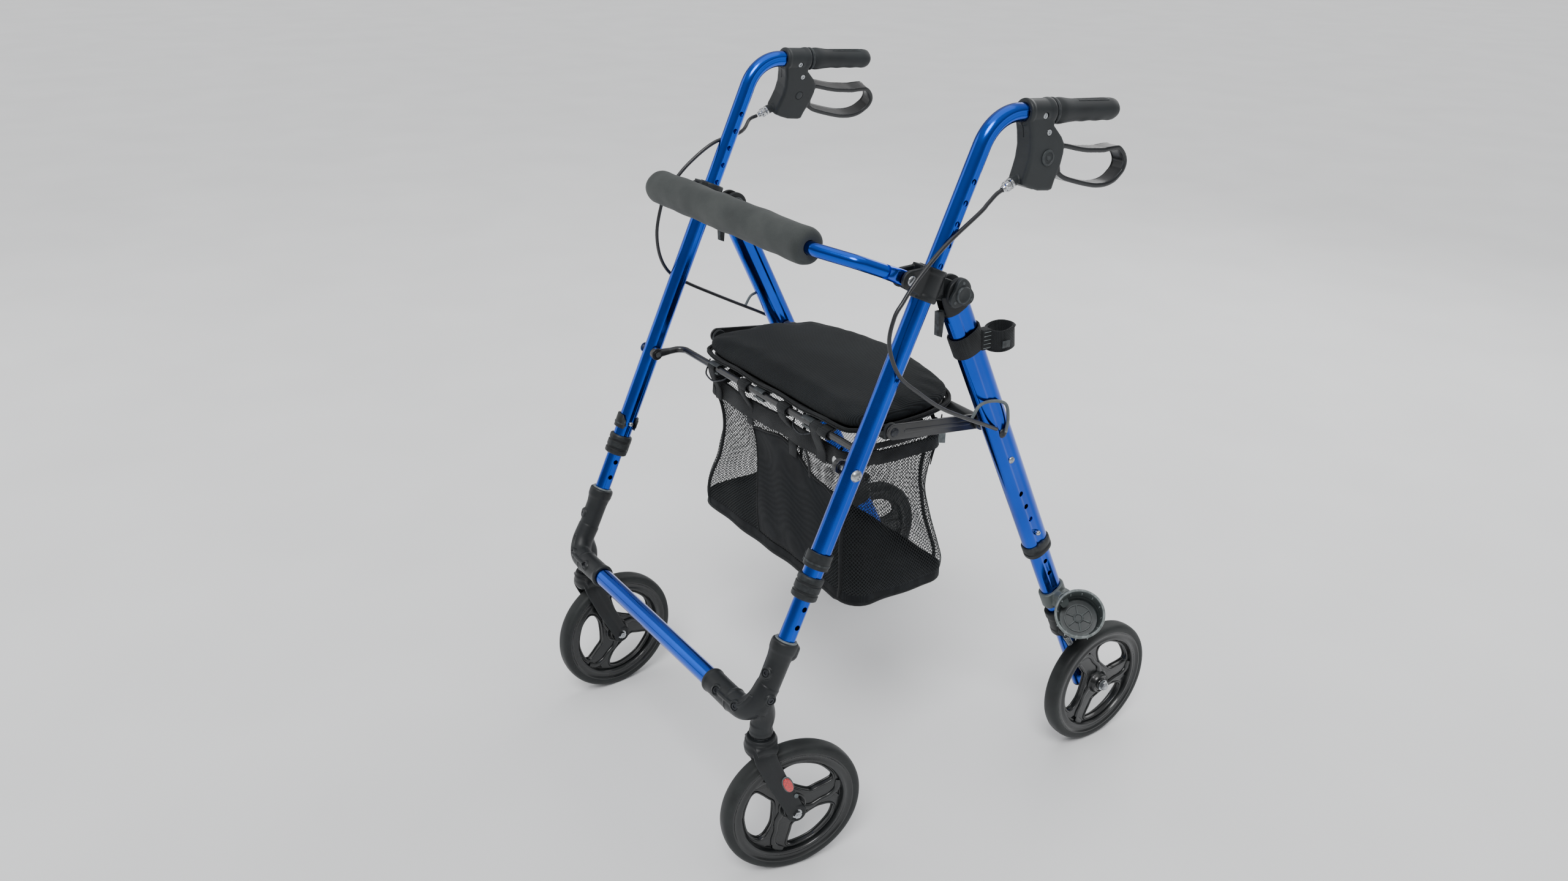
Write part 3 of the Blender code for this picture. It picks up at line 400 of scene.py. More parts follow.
BLUE = blue_anodised()
BLACK = plastic("black_plastic_grained", (18, 20, 22), (28, 31, 33), edge_wear_and_highlight=(66, 71, 73),
                rough=0.44, grain=1500, strength=0.35)
CAST = plastic("black_moulded_fitting", (25, 27, 29), (37, 40, 42), edge_wear_and_highlight=(88, 93, 94),
               rough=0.42, grain=1100, strength=0.4)
GREY = plastic("dark_grey_plastic", (34, 37, 39), (47, 51, 53), edge_wear_and_highlight=(84, 89, 91),
               rough=0.46, grain=1700, strength=0.35)
GRIP_RUBBER = plastic("grip_rubber", (30, 33, 35), (43, 47, 49), edge_wear_and_highlight=(76, 81, 83),
                      rough=0.56, grain=1300, strength=0.5)
LEVER_PLASTIC = plastic("lever_plastic", (18, 20, 23), (28, 31, 34), edge_wear_and_highlight=(80, 86, 92),
                        rough=0.34, grain=1800, strength=0.2, coat=0.3)
CUP = plastic("cup_plastic", (70, 76, 76), (92, 99, 98), edge_wear_and_highlight=(168, 176, 176),
              rough=0.42, grain=1700)
# darker plastic lining the lower inside of the cup: painted shade
CUP_INSIDE_SHADE = plastic("cup_inside_painted_shade", (44, 49, 51), (62, 68, 69), edge_wear_and_highlight=(96, 104, 104),
                   rough=0.46, grain=1500)
MID_GREY = plastic("mid_grey_plastic", (74, 81, 83), (94, 102, 104), edge_wear_and_highlight=(132, 138, 138),
                   rough=0.5, grain=1500)
PALE = plastic("pale_snap_plastic", (176, 180, 180), (202, 205, 204), edge_wear_and_highlight=(225, 226, 226),
               rough=0.4, grain=1500)
STEEL = steel("zinc_steel")
NICKEL = steel("nickel_adjuster", colour=(226, 228, 230), rough=0.12)
DARK_STEEL = steel("dark_screw_steel", colour=(74, 76, 80), rough=0.34)
PAINT = black_paint()
WHEEL_PLASTIC = wheel_plastic()
TREAD = tread_rubber()
FOAM = foam()
RIBBED = ribbed_fabric()
WEB = webbing()
PIPING = webbing("piping_tape", dark=(13, 15, 17), light=(28, 31, 33), period=0.0011)
CLOTH = bag_cloth()
NET = net_strand()
RED = reflector()
CABLE = cable_skin("cable_black", dark=(14, 16, 20), light=(26, 28, 33))
# silver alternative to the black cable skin
CABLE_SILVER = cable_skin("cable_silver", dark=(150, 158, 160), light=(188, 194, 196),
                          metal=0.75, rough=0.28)


# ---------------------------------------------------------------- outlines and paths
def signed_power(value, power):
    return math.copysign(abs(value) ** power, value)


def oval(half_width, half_height, count=32, power=2.0):
    """Closed superellipse; power 2 is an ellipse."""
    angles = [2 * math.pi * i / count for i in range(count)]
    return [(half_width * signed_power(math.cos(angle), 2.0 / power),
             half_height * signed_power(math.sin(angle), 2.0 / power)) for angle in angles]


def circle(radius, count=32, centre=(0.0, 0.0)):
    return [(centre[0] + x, centre[1] + y) for x, y in oval(radius, radius, count)]


def channelled(half_width, half_height, depth, half_channel, count, power):
    """Oval with a shallow channel down the middle of both x faces."""
    outline = []
    for x, y in oval(half_width, half_height, count, power):
        fade = 1.0 / (1.0 + (abs(y) / half_channel) ** 8)
        if abs(x) > half_width * 0.5:
            x -= math.copysign(depth * fade, x)
        outline.append((x, y))
    return outline


def polar(radius, degrees):
    angle = math.radians(degrees)
    return (radius * math.cos(angle), radius * math.sin(angle))


def hexagon(radius):
    return [polar(radius, 60 * i) for i in range(6)]


def arc(centre, radius, start, end, steps):
    points = [polar(radius, start + (end - start) * i / steps) for i in range(steps + 1)]
    return [(centre[0] + x, centre[1] + y) for x, y in points]


def rounded_rect(half_width, half_height, radius, steps=4):
    x, y = half_width - radius, half_height - radius
    corners = (((x, -y), -90), ((x, y), 0), ((-x, y), 90), ((-x, -y), 180))
    return [point for centre, start in corners
            for point in arc(centre, radius, start, start + 90, steps)]


def capsule(start, end, radius, steps, end_radius=None):
    angle = math.degrees(math.atan2(end[1] - start[1], end[0] - start[0]))
    return (arc(end, end_radius or radius, angle - 90, angle + 90, steps)
            + arc(start, radius, angle + 90, angle + 270, steps))


def smooth_path(points, per=8, closed=False):
    """Catmull-Rom curve through the points, per steps to a span."""
    knots = [Vector(point) for point in points]
    count = len(knots)
    path = []
    for i in range(count if closed else count - 1):
        here, there = knots[i], knots[(i + 1) % count]
        before = knots[i - 1] if closed or i > 0 else here + (here - there)
        after = (knots[(i + 2) % count] if closed or i + 2 < count
                 else there + (there - here))
        for j in range(per):
            t = j / per
            path.append(0.5 * ((2 * here) + (there - before) * t
                               + (2 * before - 5 * here + 4 * there - after) * t * t
                               + (3 * here - before - 3 * there + after) * t ** 3))
    if not closed:
        path.append(knots[-1])
    return path


def smooth_outline(points, per):
    curve = smooth_path([(x, y, 0) for x, y in points], per, closed=True)
    return [(point.x, point.y) for point in curve]


def round_corners(points, radius, steps):
    """Polyline with an arc at every inner corner."""
    knots = [Vector(point) for point in points]
    path = [knots[0]]
    for before, corner, after in zip(knots, knots[1:], knots[2:]):
        back, ahead = (before - corner).normalized(), (after - corner).normalized()
        half = back.angle(ahead) / 2
        trim = min(radius / math.tan(half), 0.48 * (before - corner).length,
                   0.48 * (after - corner).length)
        bend = trim * math.tan(half)
        centre = corner + (back + ahead).normalized() * (bend / math.sin(half))
        first, last = corner + back * trim - centre, corner + ahead * trim - centre
        sweep = first.angle(last)
        for i in range(steps + 1):
            t = i / steps
            path.append(centre + (first * math.sin((1 - t) * sweep)
                                  + last * math.sin(t * sweep)) / math.sin(sweep))
    path.append(knots[-1])
    return path


def leg_run(leg, side, low, high, steps):
    """Evenly spaced points on a leg axis between two heights."""
    return [leg(side, low + (high - low) * i / steps) for i in range(steps + 1)]


def flipped(profile):
    """The mirror half of a (radius, height) profile, in running order."""
    return [(radius, -height) for radius, height in reversed(profile)]


# ---------------------------------------------------------------- mesh building
YZ_TO_XY = Matrix(((0, 0, 1, 0), (1, 0, 0, 0), (0, 1, 0, 0), (0, 0, 0, 1)))


class Geo:
    """Collects shells into one mesh. material_index applies to shells added next."""

    def __init__(self):
        self.verts, self.faces, self.indices = [], [], []
        self.material_index = 0

    def add(self, verts, faces, base=None):
        first = len(self.verts)
        self.verts += [tuple(base @ Vector(p)) if base else tuple(p) for p in verts]
        self.faces += [tuple(first + i for i in face) for face in faces]
        self.indices += [self.material_index] * len(faces)
        return self

    def add_bmesh(self, bm, base):
        bm.verts.ensure_lookup_table()
        verts = [tuple(vert.co) for vert in bm.verts]
        faces = [tuple(vert.index for vert in face.verts) for face in bm.faces]
        bm.free()
        return self.add(verts, faces, base)

    def lathe(self, profile, base=None, segments=40, closed=False, warp=None):
        """Turns a (radius, height) profile round local Z. Radius 0 makes a pole."""
        verts, faces, rings = [], [], []
        for radius, height in profile:
            first = len(verts)
            if radius < 1e-7:
                verts.append((0, 0, height))
            else:
                for i in range(segments):
                    angle = 2 * math.pi * i / segments
                    point = (radius * math.cos(angle), radius * math.sin(angle), height)
                    verts.append(warp(*point) if warp else point)
            rings.append(list(range(first, len(verts))))
        pairs = list(zip(rings, rings[1:])) + ([(rings[-1], rings[0])] if closed else [])
        for low, high in pairs:
            for i in range(segments):
                j = (i + 1) % segments
                if len(low) == 1:
                    faces.append((low[0], high[i], high[j]))
                elif len(high) == 1:
                    faces.append((low[i], high[0], low[j]))
                else:
                    faces.append((low[i], high[i], high[j], low[j]))
        return self.add(verts, faces, base)

    def sweep(self, path, outline, closed=False, up=Z, scale=None, inner=None):
        """Sweeps an outline along a path, its local y kept near up. inner is a bore.

        scale is one factor (or x, y pair) per station, or a function of 0..1.
        """
        points = [Vector(point) for point in path]
        count, sides = len(points), len(outline)
        tangents = []
        for i in range(count):
            before = points[i - 1] if closed or i > 0 else points[i]
            after = points[(i + 1) % count] if closed or i < count - 1 else points[i]
            tangents.append((after - before).normalized())
        lift = Vector(up)
        lift = lift - tangents[0] * lift.dot(tangents[0])
        if lift.length < 1e-6:
            lift = X - tangents[0] * X.dot(tangents[0])
        lift.normalize()
        lifts = []
        for i, tangent in enumerate(tangents):
            if i:
                lift = tangents[i - 1].rotation_difference(tangent) @ lift
            lift = (lift - tangent * lift.dot(tangent)).normalized()
            lifts.append(lift)
        drift = 0.0
        if closed:
            # twist left over after one lap, spread back along the path
            carried = tangents[-1].rotation_difference(tangents[0]) @ lifts[-1]
            drift = math.atan2(carried.cross(lifts[0]).dot(tangents[0]),
                               carried.dot(lifts[0]))
        verts, faces, starts = [], [], []
        for ring in [outline] + ([inner] if inner else []):
            starts.append(len(verts))
            for i in range(count):
                lift, tangent = lifts[i], tangents[i]
                angle = drift * i / count
                if angle:
                    lift = Matrix.Rotation(angle, 3, tangent) @ lift
                across = lift.cross(tangent)
                size = 1.0
                if scale:
                    size = scale(i / (count - 1)) if callable(scale) else scale[i]
                size_x, size_y = size if isinstance(size, tuple) else (size, size)
                verts += [points[i] + across * (x * size_x) + lift * (y * size_y)
                          for x, y in ring]
        for start, inward in zip(starts, (False, True)):
            for i in range(count if closed else count - 1):
                low, high = start + i * sides, start + ((i + 1) % count) * sides
                for j in range(sides):
                    k = (j + 1) % sides
                    face = (low + j, low + k, high + k, high + j)
                    faces.append((face[0], face[3], face[2], face[1]) if inward else face)
        if not closed and inner:
            for i in (0, count - 1):
                for j in range(sides):
                    k = (j + 1) % sides
                    out, bore = starts[0] + i * sides, starts[1] + i * sides
                    face = (out + j, bore + j, bore + k, out + k)
                    faces.append(face if i == 0 else (face[0], face[3], face[2], face[1]))
        elif not closed:
            faces.append(tuple(range(sides))[::-1])
            faces.append(tuple((count - 1) * sides + j for j in range(sides)))
        return self.add(verts, faces)

    def rod(self, start, end, radius, segments=24, chamfer=0.0004):
        """Round bar with slightly broken edges."""
        start, end = Vector(start), Vector(end)
        length = (end - start).length
        cut = min(chamfer, radius * 0.5, length * 0.3)
        return self.lathe([(0, 0), (radius - cut, 0), (radius, cut), (radius, length - cut),
                           (radius - cut, length), (0, length)],
                          pose(start, end - start), segments)

    def bar(self, start, end, radius, segments=32):
        """Plain round bar, for cutters and hidden cores."""
        start, end = Vector(start), Vector(end)
        length = (end - start).length
        return self.lathe([(0, 0), (radius, 0), (radius, length), (0, length)],
                          pose(start, end - start), segments)

    def pin(self, centre, x0, x1, radius):
        """Plain bar along x through the (y, z) centre."""
        return self.bar((min(x0, x1), *centre), (max(x0, x1), *centre), radius)

    def plate(self, outlines, low, high, base=None, bevel=0.0008, rounds=2):
        """Flat outlines with holes, from low to high along local Z, edges rounded."""
        curve = bpy.data.curves.new("tmp", "CURVE")
        curve.dimensions = "2D"
        curve.fill_mode = "BOTH"
        bevel = min(bevel, (high - low) * 0.45)
        curve.extrude = (high - low) / 2 - bevel
        curve.bevel_depth = bevel
        curve.bevel_resolution = rounds
        curve.offset = -bevel
        for outline in outlines:
            spline = curve.splines.new("POLY")
            spline.points.add(len(outline) - 1)
            for point, (x, y) in zip(spline.points, outline):
                point.co = (x, y, 0, 1)
            spline.use_cyclic_u = True
        obj = bpy.data.objects.new("tmp", curve)
        COLLECTION.objects.link(obj)
        bpy.context.view_layer.update()
        graph = bpy.context.evaluated_depsgraph_get()
        mesh = bpy.data.meshes.new_from_object(obj.evaluated_get(graph))
        bm = bmesh.new()
        bm.from_mesh(mesh)
        bmesh.ops.remove_doubles(bm, verts=bm.verts, dist=1e-6)
        bmesh.ops.translate(bm, verts=bm.verts, vec=(0, 0, (low + high) / 2))
        bmesh.ops.recalc_face_normals(bm, faces=bm.faces)
        self.add_bmesh(bm, base)
        bpy.data.meshes.remove(mesh)
        bpy.data.objects.remove(obj)
        bpy.data.curves.remove(curve)
        return self

    def yz_plate(self, outlines, x0, x1, bevel=0.0008, rounds=2):
        """As plate, for (y, z) outlines, thick from x0 to x1."""
        return self.plate(outlines, min(x0, x1), max(x0, x1), YZ_TO_XY, bevel, rounds)

    def block(self, low, high, bevel=0.001, base=None, segments=2):
        bm = bmesh.new()
        bmesh.ops.create_cube(bm, size=1)
        size = [abs(b - a) for a, b in zip(low, high)]
        for vert in bm.verts:
            vert.co = Vector([(low[i] + high[i]) / 2 + vert.co[i] * size[i]
                              for i in range(3)])
        bmesh.ops.bevel(bm, geom=bm.edges[:], offset=min(bevel, 0.45 * min(size)),
                        segments=segments, profile=0.6, affect="EDGES")
        return self.add_bmesh(bm, base)

    def dome_head(self, place, facing, radius, height):
        arcs = [math.radians(angle) for angle in (15, 30, 45, 60, 75, 88)]
        dome = [(radius * math.sin(angle), height * math.cos(angle)) for angle in arcs]
        return self.lathe([(0, height)] + dome + [(radius, -0.0006), (0, -0.0006)],
                          pose(place, facing), 28)

    def hex_head(self, place, facing, radius, height):
        base = pose(place, facing, Y)
        rim, tip = radius * 1.30, height + 0.0005
        self.lathe([(0, -0.0006), (rim, -0.0006), (rim, 0.0004), (radius * 1.22, 0.0007),
                    (0, 0.0007)], base, 32)
        self.plate([hexagon(radius)], 0.0004, height + 0.0008, base, 0.0004)
        return self.lathe([(0, tip), (radius * 0.55, tip), (radius * 0.5, height + 0.0016),
                           (0, height + 0.0018)], base, 20)

    def socket_head(self, place, facing, radius, height):
        base, inside = pose(place, facing), radius * 0.9
        self.plate([circle(radius), hexagon(radius * 0.52)[::-1]], -0.0004, height, base,
                   0.0004)
        return self.lathe([(0, -0.0006), (inside, -0.0006), (inside, height * 0.25),
                           (0, height * 0.25)], base, 24)

    def move(self, matrix):
        self.verts = [tuple(matrix @ Vector(point)) for point in self.verts]
        return self

    def make(self, name, materials, body=None, slot=None, stands=None, place=None,
             cast=None, cuts=(), sharp=38):
        """Makes the object. cast is (voxel, smoothing rounds); cuts are cutter Geos."""
        mesh = bpy.data.meshes.new(name)
        mesh.from_pydata(self.verts, [], self.faces)
        for material in materials if isinstance(materials, list) else [materials]:
            mesh.materials.append(material)
        mesh.polygons.foreach_set("material_index", self.indices)
        mesh.update()
        bm = bmesh.new()
        bm.from_mesh(mesh)
        bmesh.ops.recalc_face_normals(bm, faces=bm.faces)
        bm.to_mesh(mesh)
        bm.free()
        smooth_shade(mesh, sharp)
        obj = bpy.data.objects.new(name, mesh)
        COLLECTION.objects.link(obj)
        if place:
            mesh.transform(place)
        if cast:
            fuse(obj, *cast)
        if cuts:
            drill(obj, *cuts, sharp=50 if cast else 38)
        return register(obj, body, stands)


def smooth_shade(mesh, sharp):
    mesh.shade_smooth()
    mesh.set_sharp_from_angle(angle=math.radians(sharp))


def register(obj, body=None, stands=None):
    if body:
        PIECES.append(obj)
        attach(obj, body)
    if stands:
        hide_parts(stands)
    return obj


def register_between(obj):
    """Moves the object to the final origin."""
    obj.data.transform(SHIFT)
    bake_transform(obj)


def apply_modifiers(obj):
    graph = bpy.context.evaluated_depsgraph_get()
    bpy.context.view_layer.update()
    mesh = bpy.data.meshes.new_from_object(obj.evaluated_get(graph),
                                           preserve_all_data_layers=True, depsgraph=graph)
    obj.modifiers.clear()
    old = obj.data
    obj.data = mesh
    bpy.data.meshes.remove(old)


def drill(obj, *cutters, sharp):
    """Cuts each cutter out of obj. Shells inside one cutter must not touch."""
    made = []
    for i, cutter in enumerate(cutters):
        tool = cutter.make(f"cutter_{i}", obj.data.materials[0])
        boolean = obj.modifiers.new("holes", "BOOLEAN")
        boolean.operation = "DIFFERENCE"
        boolean.solver = "MANIFOLD"
        boolean.object = tool
        made.append(tool)
    apply_modifiers(obj)
    for tool in made:
        bpy.data.objects.remove(tool)
    smooth_shade(obj.data, sharp)


def voxel_remesh(obj, voxel):
    remesh = obj.modifiers.new("fuse", "REMESH")
    remesh.mode = "VOXEL"
    remesh.voxel_size = voxel


def soften(obj, rounds):
    smooth = obj.modifiers.new("soft", "SMOOTH")
    smooth.iterations = rounds
    smooth.factor = 0.5


def fuse(obj, voxel, rounds):
    """Melts overlapping shells into one cast body with small fillets."""
    voxel_remesh(obj, voxel)
    soften(obj, rounds)
    apply_modifiers(obj)
    smooth_shade(obj.data, 50)


# ---------------------------------------------------------------- tubes of both sides
def drilled_tube(name, body, stands, path, outline, bore, holes):
    """Blue tube crossed by holes, each ((y, z), x0, x1, radius)."""
    cut = Geo()
    for hole in holes:
        cut.pin(*hole)
    Geo().sweep(path, outline, up=Y, inner=bore).make(
        name, BLUE, body, "blue_anodised", stands, cuts=[cut])


def front_tubes(side, tag):
    leg_x = side * LEG_X
    drilled_tube(f"leg_tube_{tag}", "frame", f"front_leg_{tag}",
                 leg_run(front_leg, side, 0.402, 0.772, 24),
                 channelled(LEG_R, LEG_R, 0.0008, 0.0026, 96, 2.0),
                 circle(LEG_R - 0.0014, 96),
                 [(SEAT, leg_x - 0.03, leg_x + 0.03, 0.0042),
                  (front_leg(side, BUTTON_Z).yz, leg_x, leg_x - side * 0.03, 0.004)])
    drilled_tube(f"lower_leg_tube_{tag}", "front_carriage", f"front_inner_tube_{tag}",
                 leg_run(front_leg, side, 0.32, 0.47, 12),
                 channelled(INNER_R, INNER_R, 0.0006, 0.0024, 80, 2.0),
                 circle(INNER_R - 0.0013, 80),
                 [(front_leg(side, z).yz, leg_x - 0.02, leg_x + 0.02, 0.0036)
                  for z in (0.364, 0.386)])


def rear_tubes(side, tag):
    leg_x = side * LEG_X
    holes = [(centre, leg_x - 0.03, leg_x + 0.03, 0.0037)
             for centre in yz_points((0.431, 0.445), (0.443, 0.423), (0.454, 0.401))]
    holes.append((rear_leg(side, REAR_BUTTON_Z).yz, leg_x, leg_x + side * 0.03, 0.0041))
    drilled_tube(f"rear_leg_tube_{tag}", "rear_frame", f"rear_leg_{tag}",
                 leg_run(rear_leg, side, 0.35, 0.722, 24),
                 channelled(REAR_A, REAR_B, 0.0015, 0.0056, 112, 2.4),
                 oval(REAR_A - 0.003, REAR_B - 0.0016, 112, 2.4), holes)

    holes = [((REAR_AXLE_Y, AXLE_Z), leg_x - 0.02, leg_x + 0.02, 0.0045)]
    holes += [(rear_leg(side, z).yz, leg_x - 0.02, leg_x + 0.02, 0.0036)
              for z in (0.3, 0.322)]
    drilled_tube(f"rear_lower_tube_{tag}", f"rear_extension_{tag}",
                 f"rear_inner_tube_{tag}", leg_run(rear_leg, side, 0.08, 0.405, 16),
                 channelled(RIN_A, RIN_B, 0.0009, 0.0042, 96, 2.4),
                 oval(RIN_A - 0.0024, RIN_B - 0.0015, 96, 2.4), holes)
    # plug closing the lower end of the tube
    foot = rear_leg(side, 0.0796)
    Geo().sweep([foot - REAR_UP * drop for drop in (0.0034, 0.0028, 0.0004, 0.0)],
                oval(RIN_A - 0.0002, RIN_B - 0.0002, 48, 2.4), up=Y,
                scale=[0.82, 1.0, 1.0, 1.0]).make(
        f"lower_tube_plug_{tag}", BLACK, f"rear_extension_{tag}", "black_plastic")


def handle_tube(side, tag):
    leg_x = side * LEG_X
    # where the leg axis and the handle axis cross
    corner_z = ((RING_Z + HANDLE_RAKE * (DATUM_Y - FRONT_RAKE * DATUM_Z - RING_Y))
                / (1 - HANDLE_RAKE * FRONT_RAKE))
    corner = (leg_x, DATUM_Y + FRONT_RAKE * (corner_z - DATUM_Z), corner_z)
    end_y = DATUM_Y + 0.528
    path = round_corners([front_leg(side, 0.7), corner, (leg_x, end_y, handle_z(end_y))],
                         0.055, 22)
    straight = [path[0] + (path[1] - path[0]) * (i / 12) for i in range(12)]
    drilled_tube(f"handle_bend_{tag}", f"handle_{tag}", f"handle_tube_{tag}",
                 straight + path[1:], channelled(INNER_R, INNER_R, 0.0007, 0.0025, 88, 2.0),
                 circle(INNER_R - 0.0013, 88),
                 [(front_leg(side, z).yz, leg_x - 0.02, leg_x + 0.02, 0.0035)
                  for z in (0.7808, 0.8036, 0.8264, 0.8492, 0.872)])


# ---------------------------------------------------------------- small fittings on the legs
def sleeve_collar(side, tag):
    base = pose(front_leg(side, 0.3965), FRONT_UP)
    profile = [(0.013, 0), (0.0146, 0), (0.0162, 0.0012), (0.0166, 0.003),
               (0.0166, 0.0072), (0.0157, 0.0082), (0.0157, 0.0104), (0.0166, 0.0114),
               (0.0166, 0.019), (0.0157, 0.02), (0.0157, 0.022), (0.0166, 0.023),
               (0.0166, 0.0275), (0.016, 0.0292), (0.0148, 0.03), (0.013, 0.03)]
    geo = Geo().lathe(profile, base, 56, closed=True)
    geo.block((-0.0045, 0.014, 0.004), (0.0045, 0.0178, 0.027), 0.0012, base)
    geo.make(f"leg_sleeve_collar_{tag}", BLACK, "frame", "black_plastic",
             f"leg_end_collar_{tag}")


def snap_ring(side, tag):
    """Split ring with two thumb lips, open on the inboard side at the spring pin."""
    leg_x = side * LEG_X
    base = pose(front_leg(side, 0.4335), FRONT_UP)
    gap = 0 if side < 0 else 180
    geo = Geo().plate([arc((0, 0), 0.0161, gap + 36, gap + 324, 48)
                       + arc((0, 0), 0.013, gap + 36, gap + 324, 48)[::-1]],
                      0.0, 0.02, base)
    for degrees in (gap + 37, gap - 37):
        turn = Matrix.Rotation(math.radians(degrees), 4, "Z")
        lip = Matrix.Translation((*polar(0.015, degrees), 0)) @ turn
        geo.block((-0.0016, -0.0014, 0.002), (0.0026, 0.0014, 0.018), 0.0008, base @ lip)
    geo.lathe([(0.0157, 0.0048), (0.0168, 0.0054), (0.0168, 0.0072), (0.0157, 0.0078)],
              base, 56, closed=True)
    button = front_leg(side, BUTTON_Z)
    cut = Geo().block((leg_x, button.y - 0.0082, 0.42),
                      (leg_x - side * 0.03, button.y + 0.0082, 0.47), 0.0004)
    geo.make(f"snap_ring_{tag}", BLACK, "frame", "black_plastic", f"snap_clip_{tag}",
             cuts=[cut])


def spring_pins(side, tag):
    leg_x = side * LEG_X
    shank = [(0.0036, 0), (0.0036, -0.0008), (0, -0.0008)]
    front = [(0, 0.0034), (0.0011, 0.0033), (0.0021, 0.0029), (0.0029, 0.0021),
             (0.0034, 0.0009)]
    rear = [(0, 0.004), (0.0011, 0.0039), (0.0022, 0.0034), (0.003, 0.0025),
            (0.0035, 0.0011)]
    button = front_leg(side, BUTTON_Z)
    Geo().lathe(front + shank,
                pose((leg_x - side * (LEG_R + 0.0005), *button.yz), X * -side), 32).make(
        f"spring_pin_{tag}", STEEL, f"front_button_{tag}", "steel",
        f"front_snap_button_{tag}")
    button = rear_leg(side, REAR_BUTTON_Z)
    Geo().lathe(rear + shank,
                pose((leg_x + side * (REAR_A + 0.0004), *button.yz), X * side), 32).make(
        f"rear_spring_pin_{tag}", STEEL, f"rear_button_{tag}", "steel",
        f"rear_snap_button_{tag}")


def seat_bolt(side, tag):
    base = pose((side * LEG_X + side * (LEG_R + 0.0004), *SEAT), X * side)
    geo = Geo().lathe([(0, 0.0034), (0.0024, 0.0034), (0.0026, 0.0044), (0.004, 0.004),
                       (0.006, 0.0026), (0.0072, 0.001), (0.0076, 0), (0.0038, 0),
                       (0.0038, -0.0405), (0, -0.0405)], base, 40)
    geo.lathe([(0.0077, 0.0001), (0.0077, -0.0006), (0.004, -0.0006), (0.004, 0.0001)],
              base, 32, closed=True)
    geo.make(f"seat_bolt_{tag}", STEEL, "frame", "steel", f"seat_pivot_bolt_{tag}")


def rear_tube_collar(side, tag):
    foot = rear_leg(side, 0.3392)
    # (height, scale) along the leg
    stations = [(0, 0.93), (0.001, 0.98), (0.003, 1.0), (0.007, 1.0), (0.0078, 0.965),
                (0.0092, 0.965), (0.01, 1.0), (0.0196, 1.0), (0.0206, 0.965)]
    Geo().sweep([foot + REAR_UP * height for height, _ in stations],
                oval(REAR_A + 0.0022, REAR_B + 0.0022, 64, 2.4), up=Y,
                scale=[size for _, size in stations],
                inner=oval(RIN_A + 0.0006, RIN_B + 0.0006, 64, 2.4)).make(
        f"rear_tube_collar_{tag}", BLACK, "rear_frame", "black_plastic")


def rear_leg_heads(side, tag):
    """Bolt heads and rivets in both channels of the rear leg."""
    # name, material, slot, y, z, radius, height
    for name, material, slot, y, z, radius, height in (
            ("link_bolt_heads", DARK_STEEL, "black_steel", 0.387, 0.5435, 0.0066, 0.003),
            ("leg_rivets", STEEL, "steel", 0.407, 0.5006, 0.0048, 0.0026)):
        geo = Geo()
        for k in (1, -1):
            geo.dome_head(spot(side * LEG_X + k * (REAR_A - 0.0013), y, z), X * k,
                          radius, height)
        geo.make(f"{name}_{tag}", material, "rear_frame", slot)


# ---------------------------------------------------------------- top bracket and fold hub
def fold_bracket(side, tag):
    leg_x = side * LEG_X
    height = 0.0395
    geo = Geo().lathe([(0, 0), (0.016, 0), (0.0172, 0.0014), (0.0172, 0.006),
                       (0.0164, 0.0075), (0.0164, height - 0.008),
                       (0.0174, height - 0.006), (0.0174, height - 0.0012),
                       (0.016, height), (0, height)],
                      pose(front_leg(side, 0.7415), FRONT_UP), 56)
    # fork cheeks in front
    cheek = arc(BACK, 0.0116, 95, 265, 14) + yz_points(
        (0.244, 0.746), (0.262, 0.75), (0.266, 0.778), (0.244, 0.783))
    for k in (1, -1):
        geo.yz_plate([cheek], leg_x + k * 0.0056, leg_x + k * 0.0108, 0.0012)
        geo.lathe([(0, 0), (0.0078, 0), (0.0072, 0.0014), (0, 0.0014)],
                  pose((leg_x + k * 0.0104, *BACK), X * k), 36)
    geo.yz_plate([yz_points((0.236, 0.756), (0.256, 0.75), (0.26, 0.779), (0.24, 0.786))],
                 leg_x - 0.01, leg_x + 0.01, 0.0012)
    # arm to the fold pivot and its root
    arm = yz_points((0.254, 0.774), (0.246, 0.744)) + arc(FOLD, 0.0118, -105, 75, 14)
    geo.yz_plate([arm], leg_x - 0.0049, leg_x + 0.0049, 0.001)
    geo.yz_plate([yz_points((0.254, 0.779), (0.25, 0.744), (0.274, 0.744), (0.276, 0.764),
                            (0.266, 0.78))], leg_x - 0.0085, leg_x + 0.0085, 0.002)
    bore = Geo().bar(front_leg(side, 0.7), front_leg(side, 0.81), 0.013, 64)
    slot = Geo().block(spot(leg_x - 0.0055, 0.2, 0.74), spot(leg_x + 0.0055, 0.235, 0.8),
                       0.0002)
    slot.pin(FOLD, leg_x - 0.03, leg_x + 0.03, 0.004)
    geo.make(f"fold_bracket_{tag}", CAST, "frame", "black_casting",
             f"pivot_bracket_{tag}", cast=(0.0008, 4), cuts=[bore, slot])


def bracket_pins(side, tag):
    leg_x = side * LEG_X
    geo = Geo().pin(BACK, leg_x - 0.0112, leg_x + 0.0112, 0.0036)
    for k in (1, -1):
        geo.dome_head((leg_x + k * 0.0118, *BACK), X * k, 0.0062, 0.0028)
    geo.make(f"backrest_hinge_pin_{tag}", STEEL, "frame", "steel")
    Geo().pin(FOLD, leg_x - 0.0145, leg_x + 0.0145, 0.0039).make(
        f"fold_pin_core_{tag}", STEEL, "frame", "steel")
    # small tab standing under the bracket
    y, z = DATUM_Y + 0.277, 0.705
    Geo().yz_plate([[(y - 0.005, z + 0.018), (y - 0.0036, z - 0.012),
                     (y + 0.0036, z - 0.015), (y + 0.006, z + 0.018)]],
                   leg_x - 0.004, leg_x + 0.004, 0.0012).make(
        f"bracket_tab_{tag}", BLACK, "rear_frame", "black_plastic")


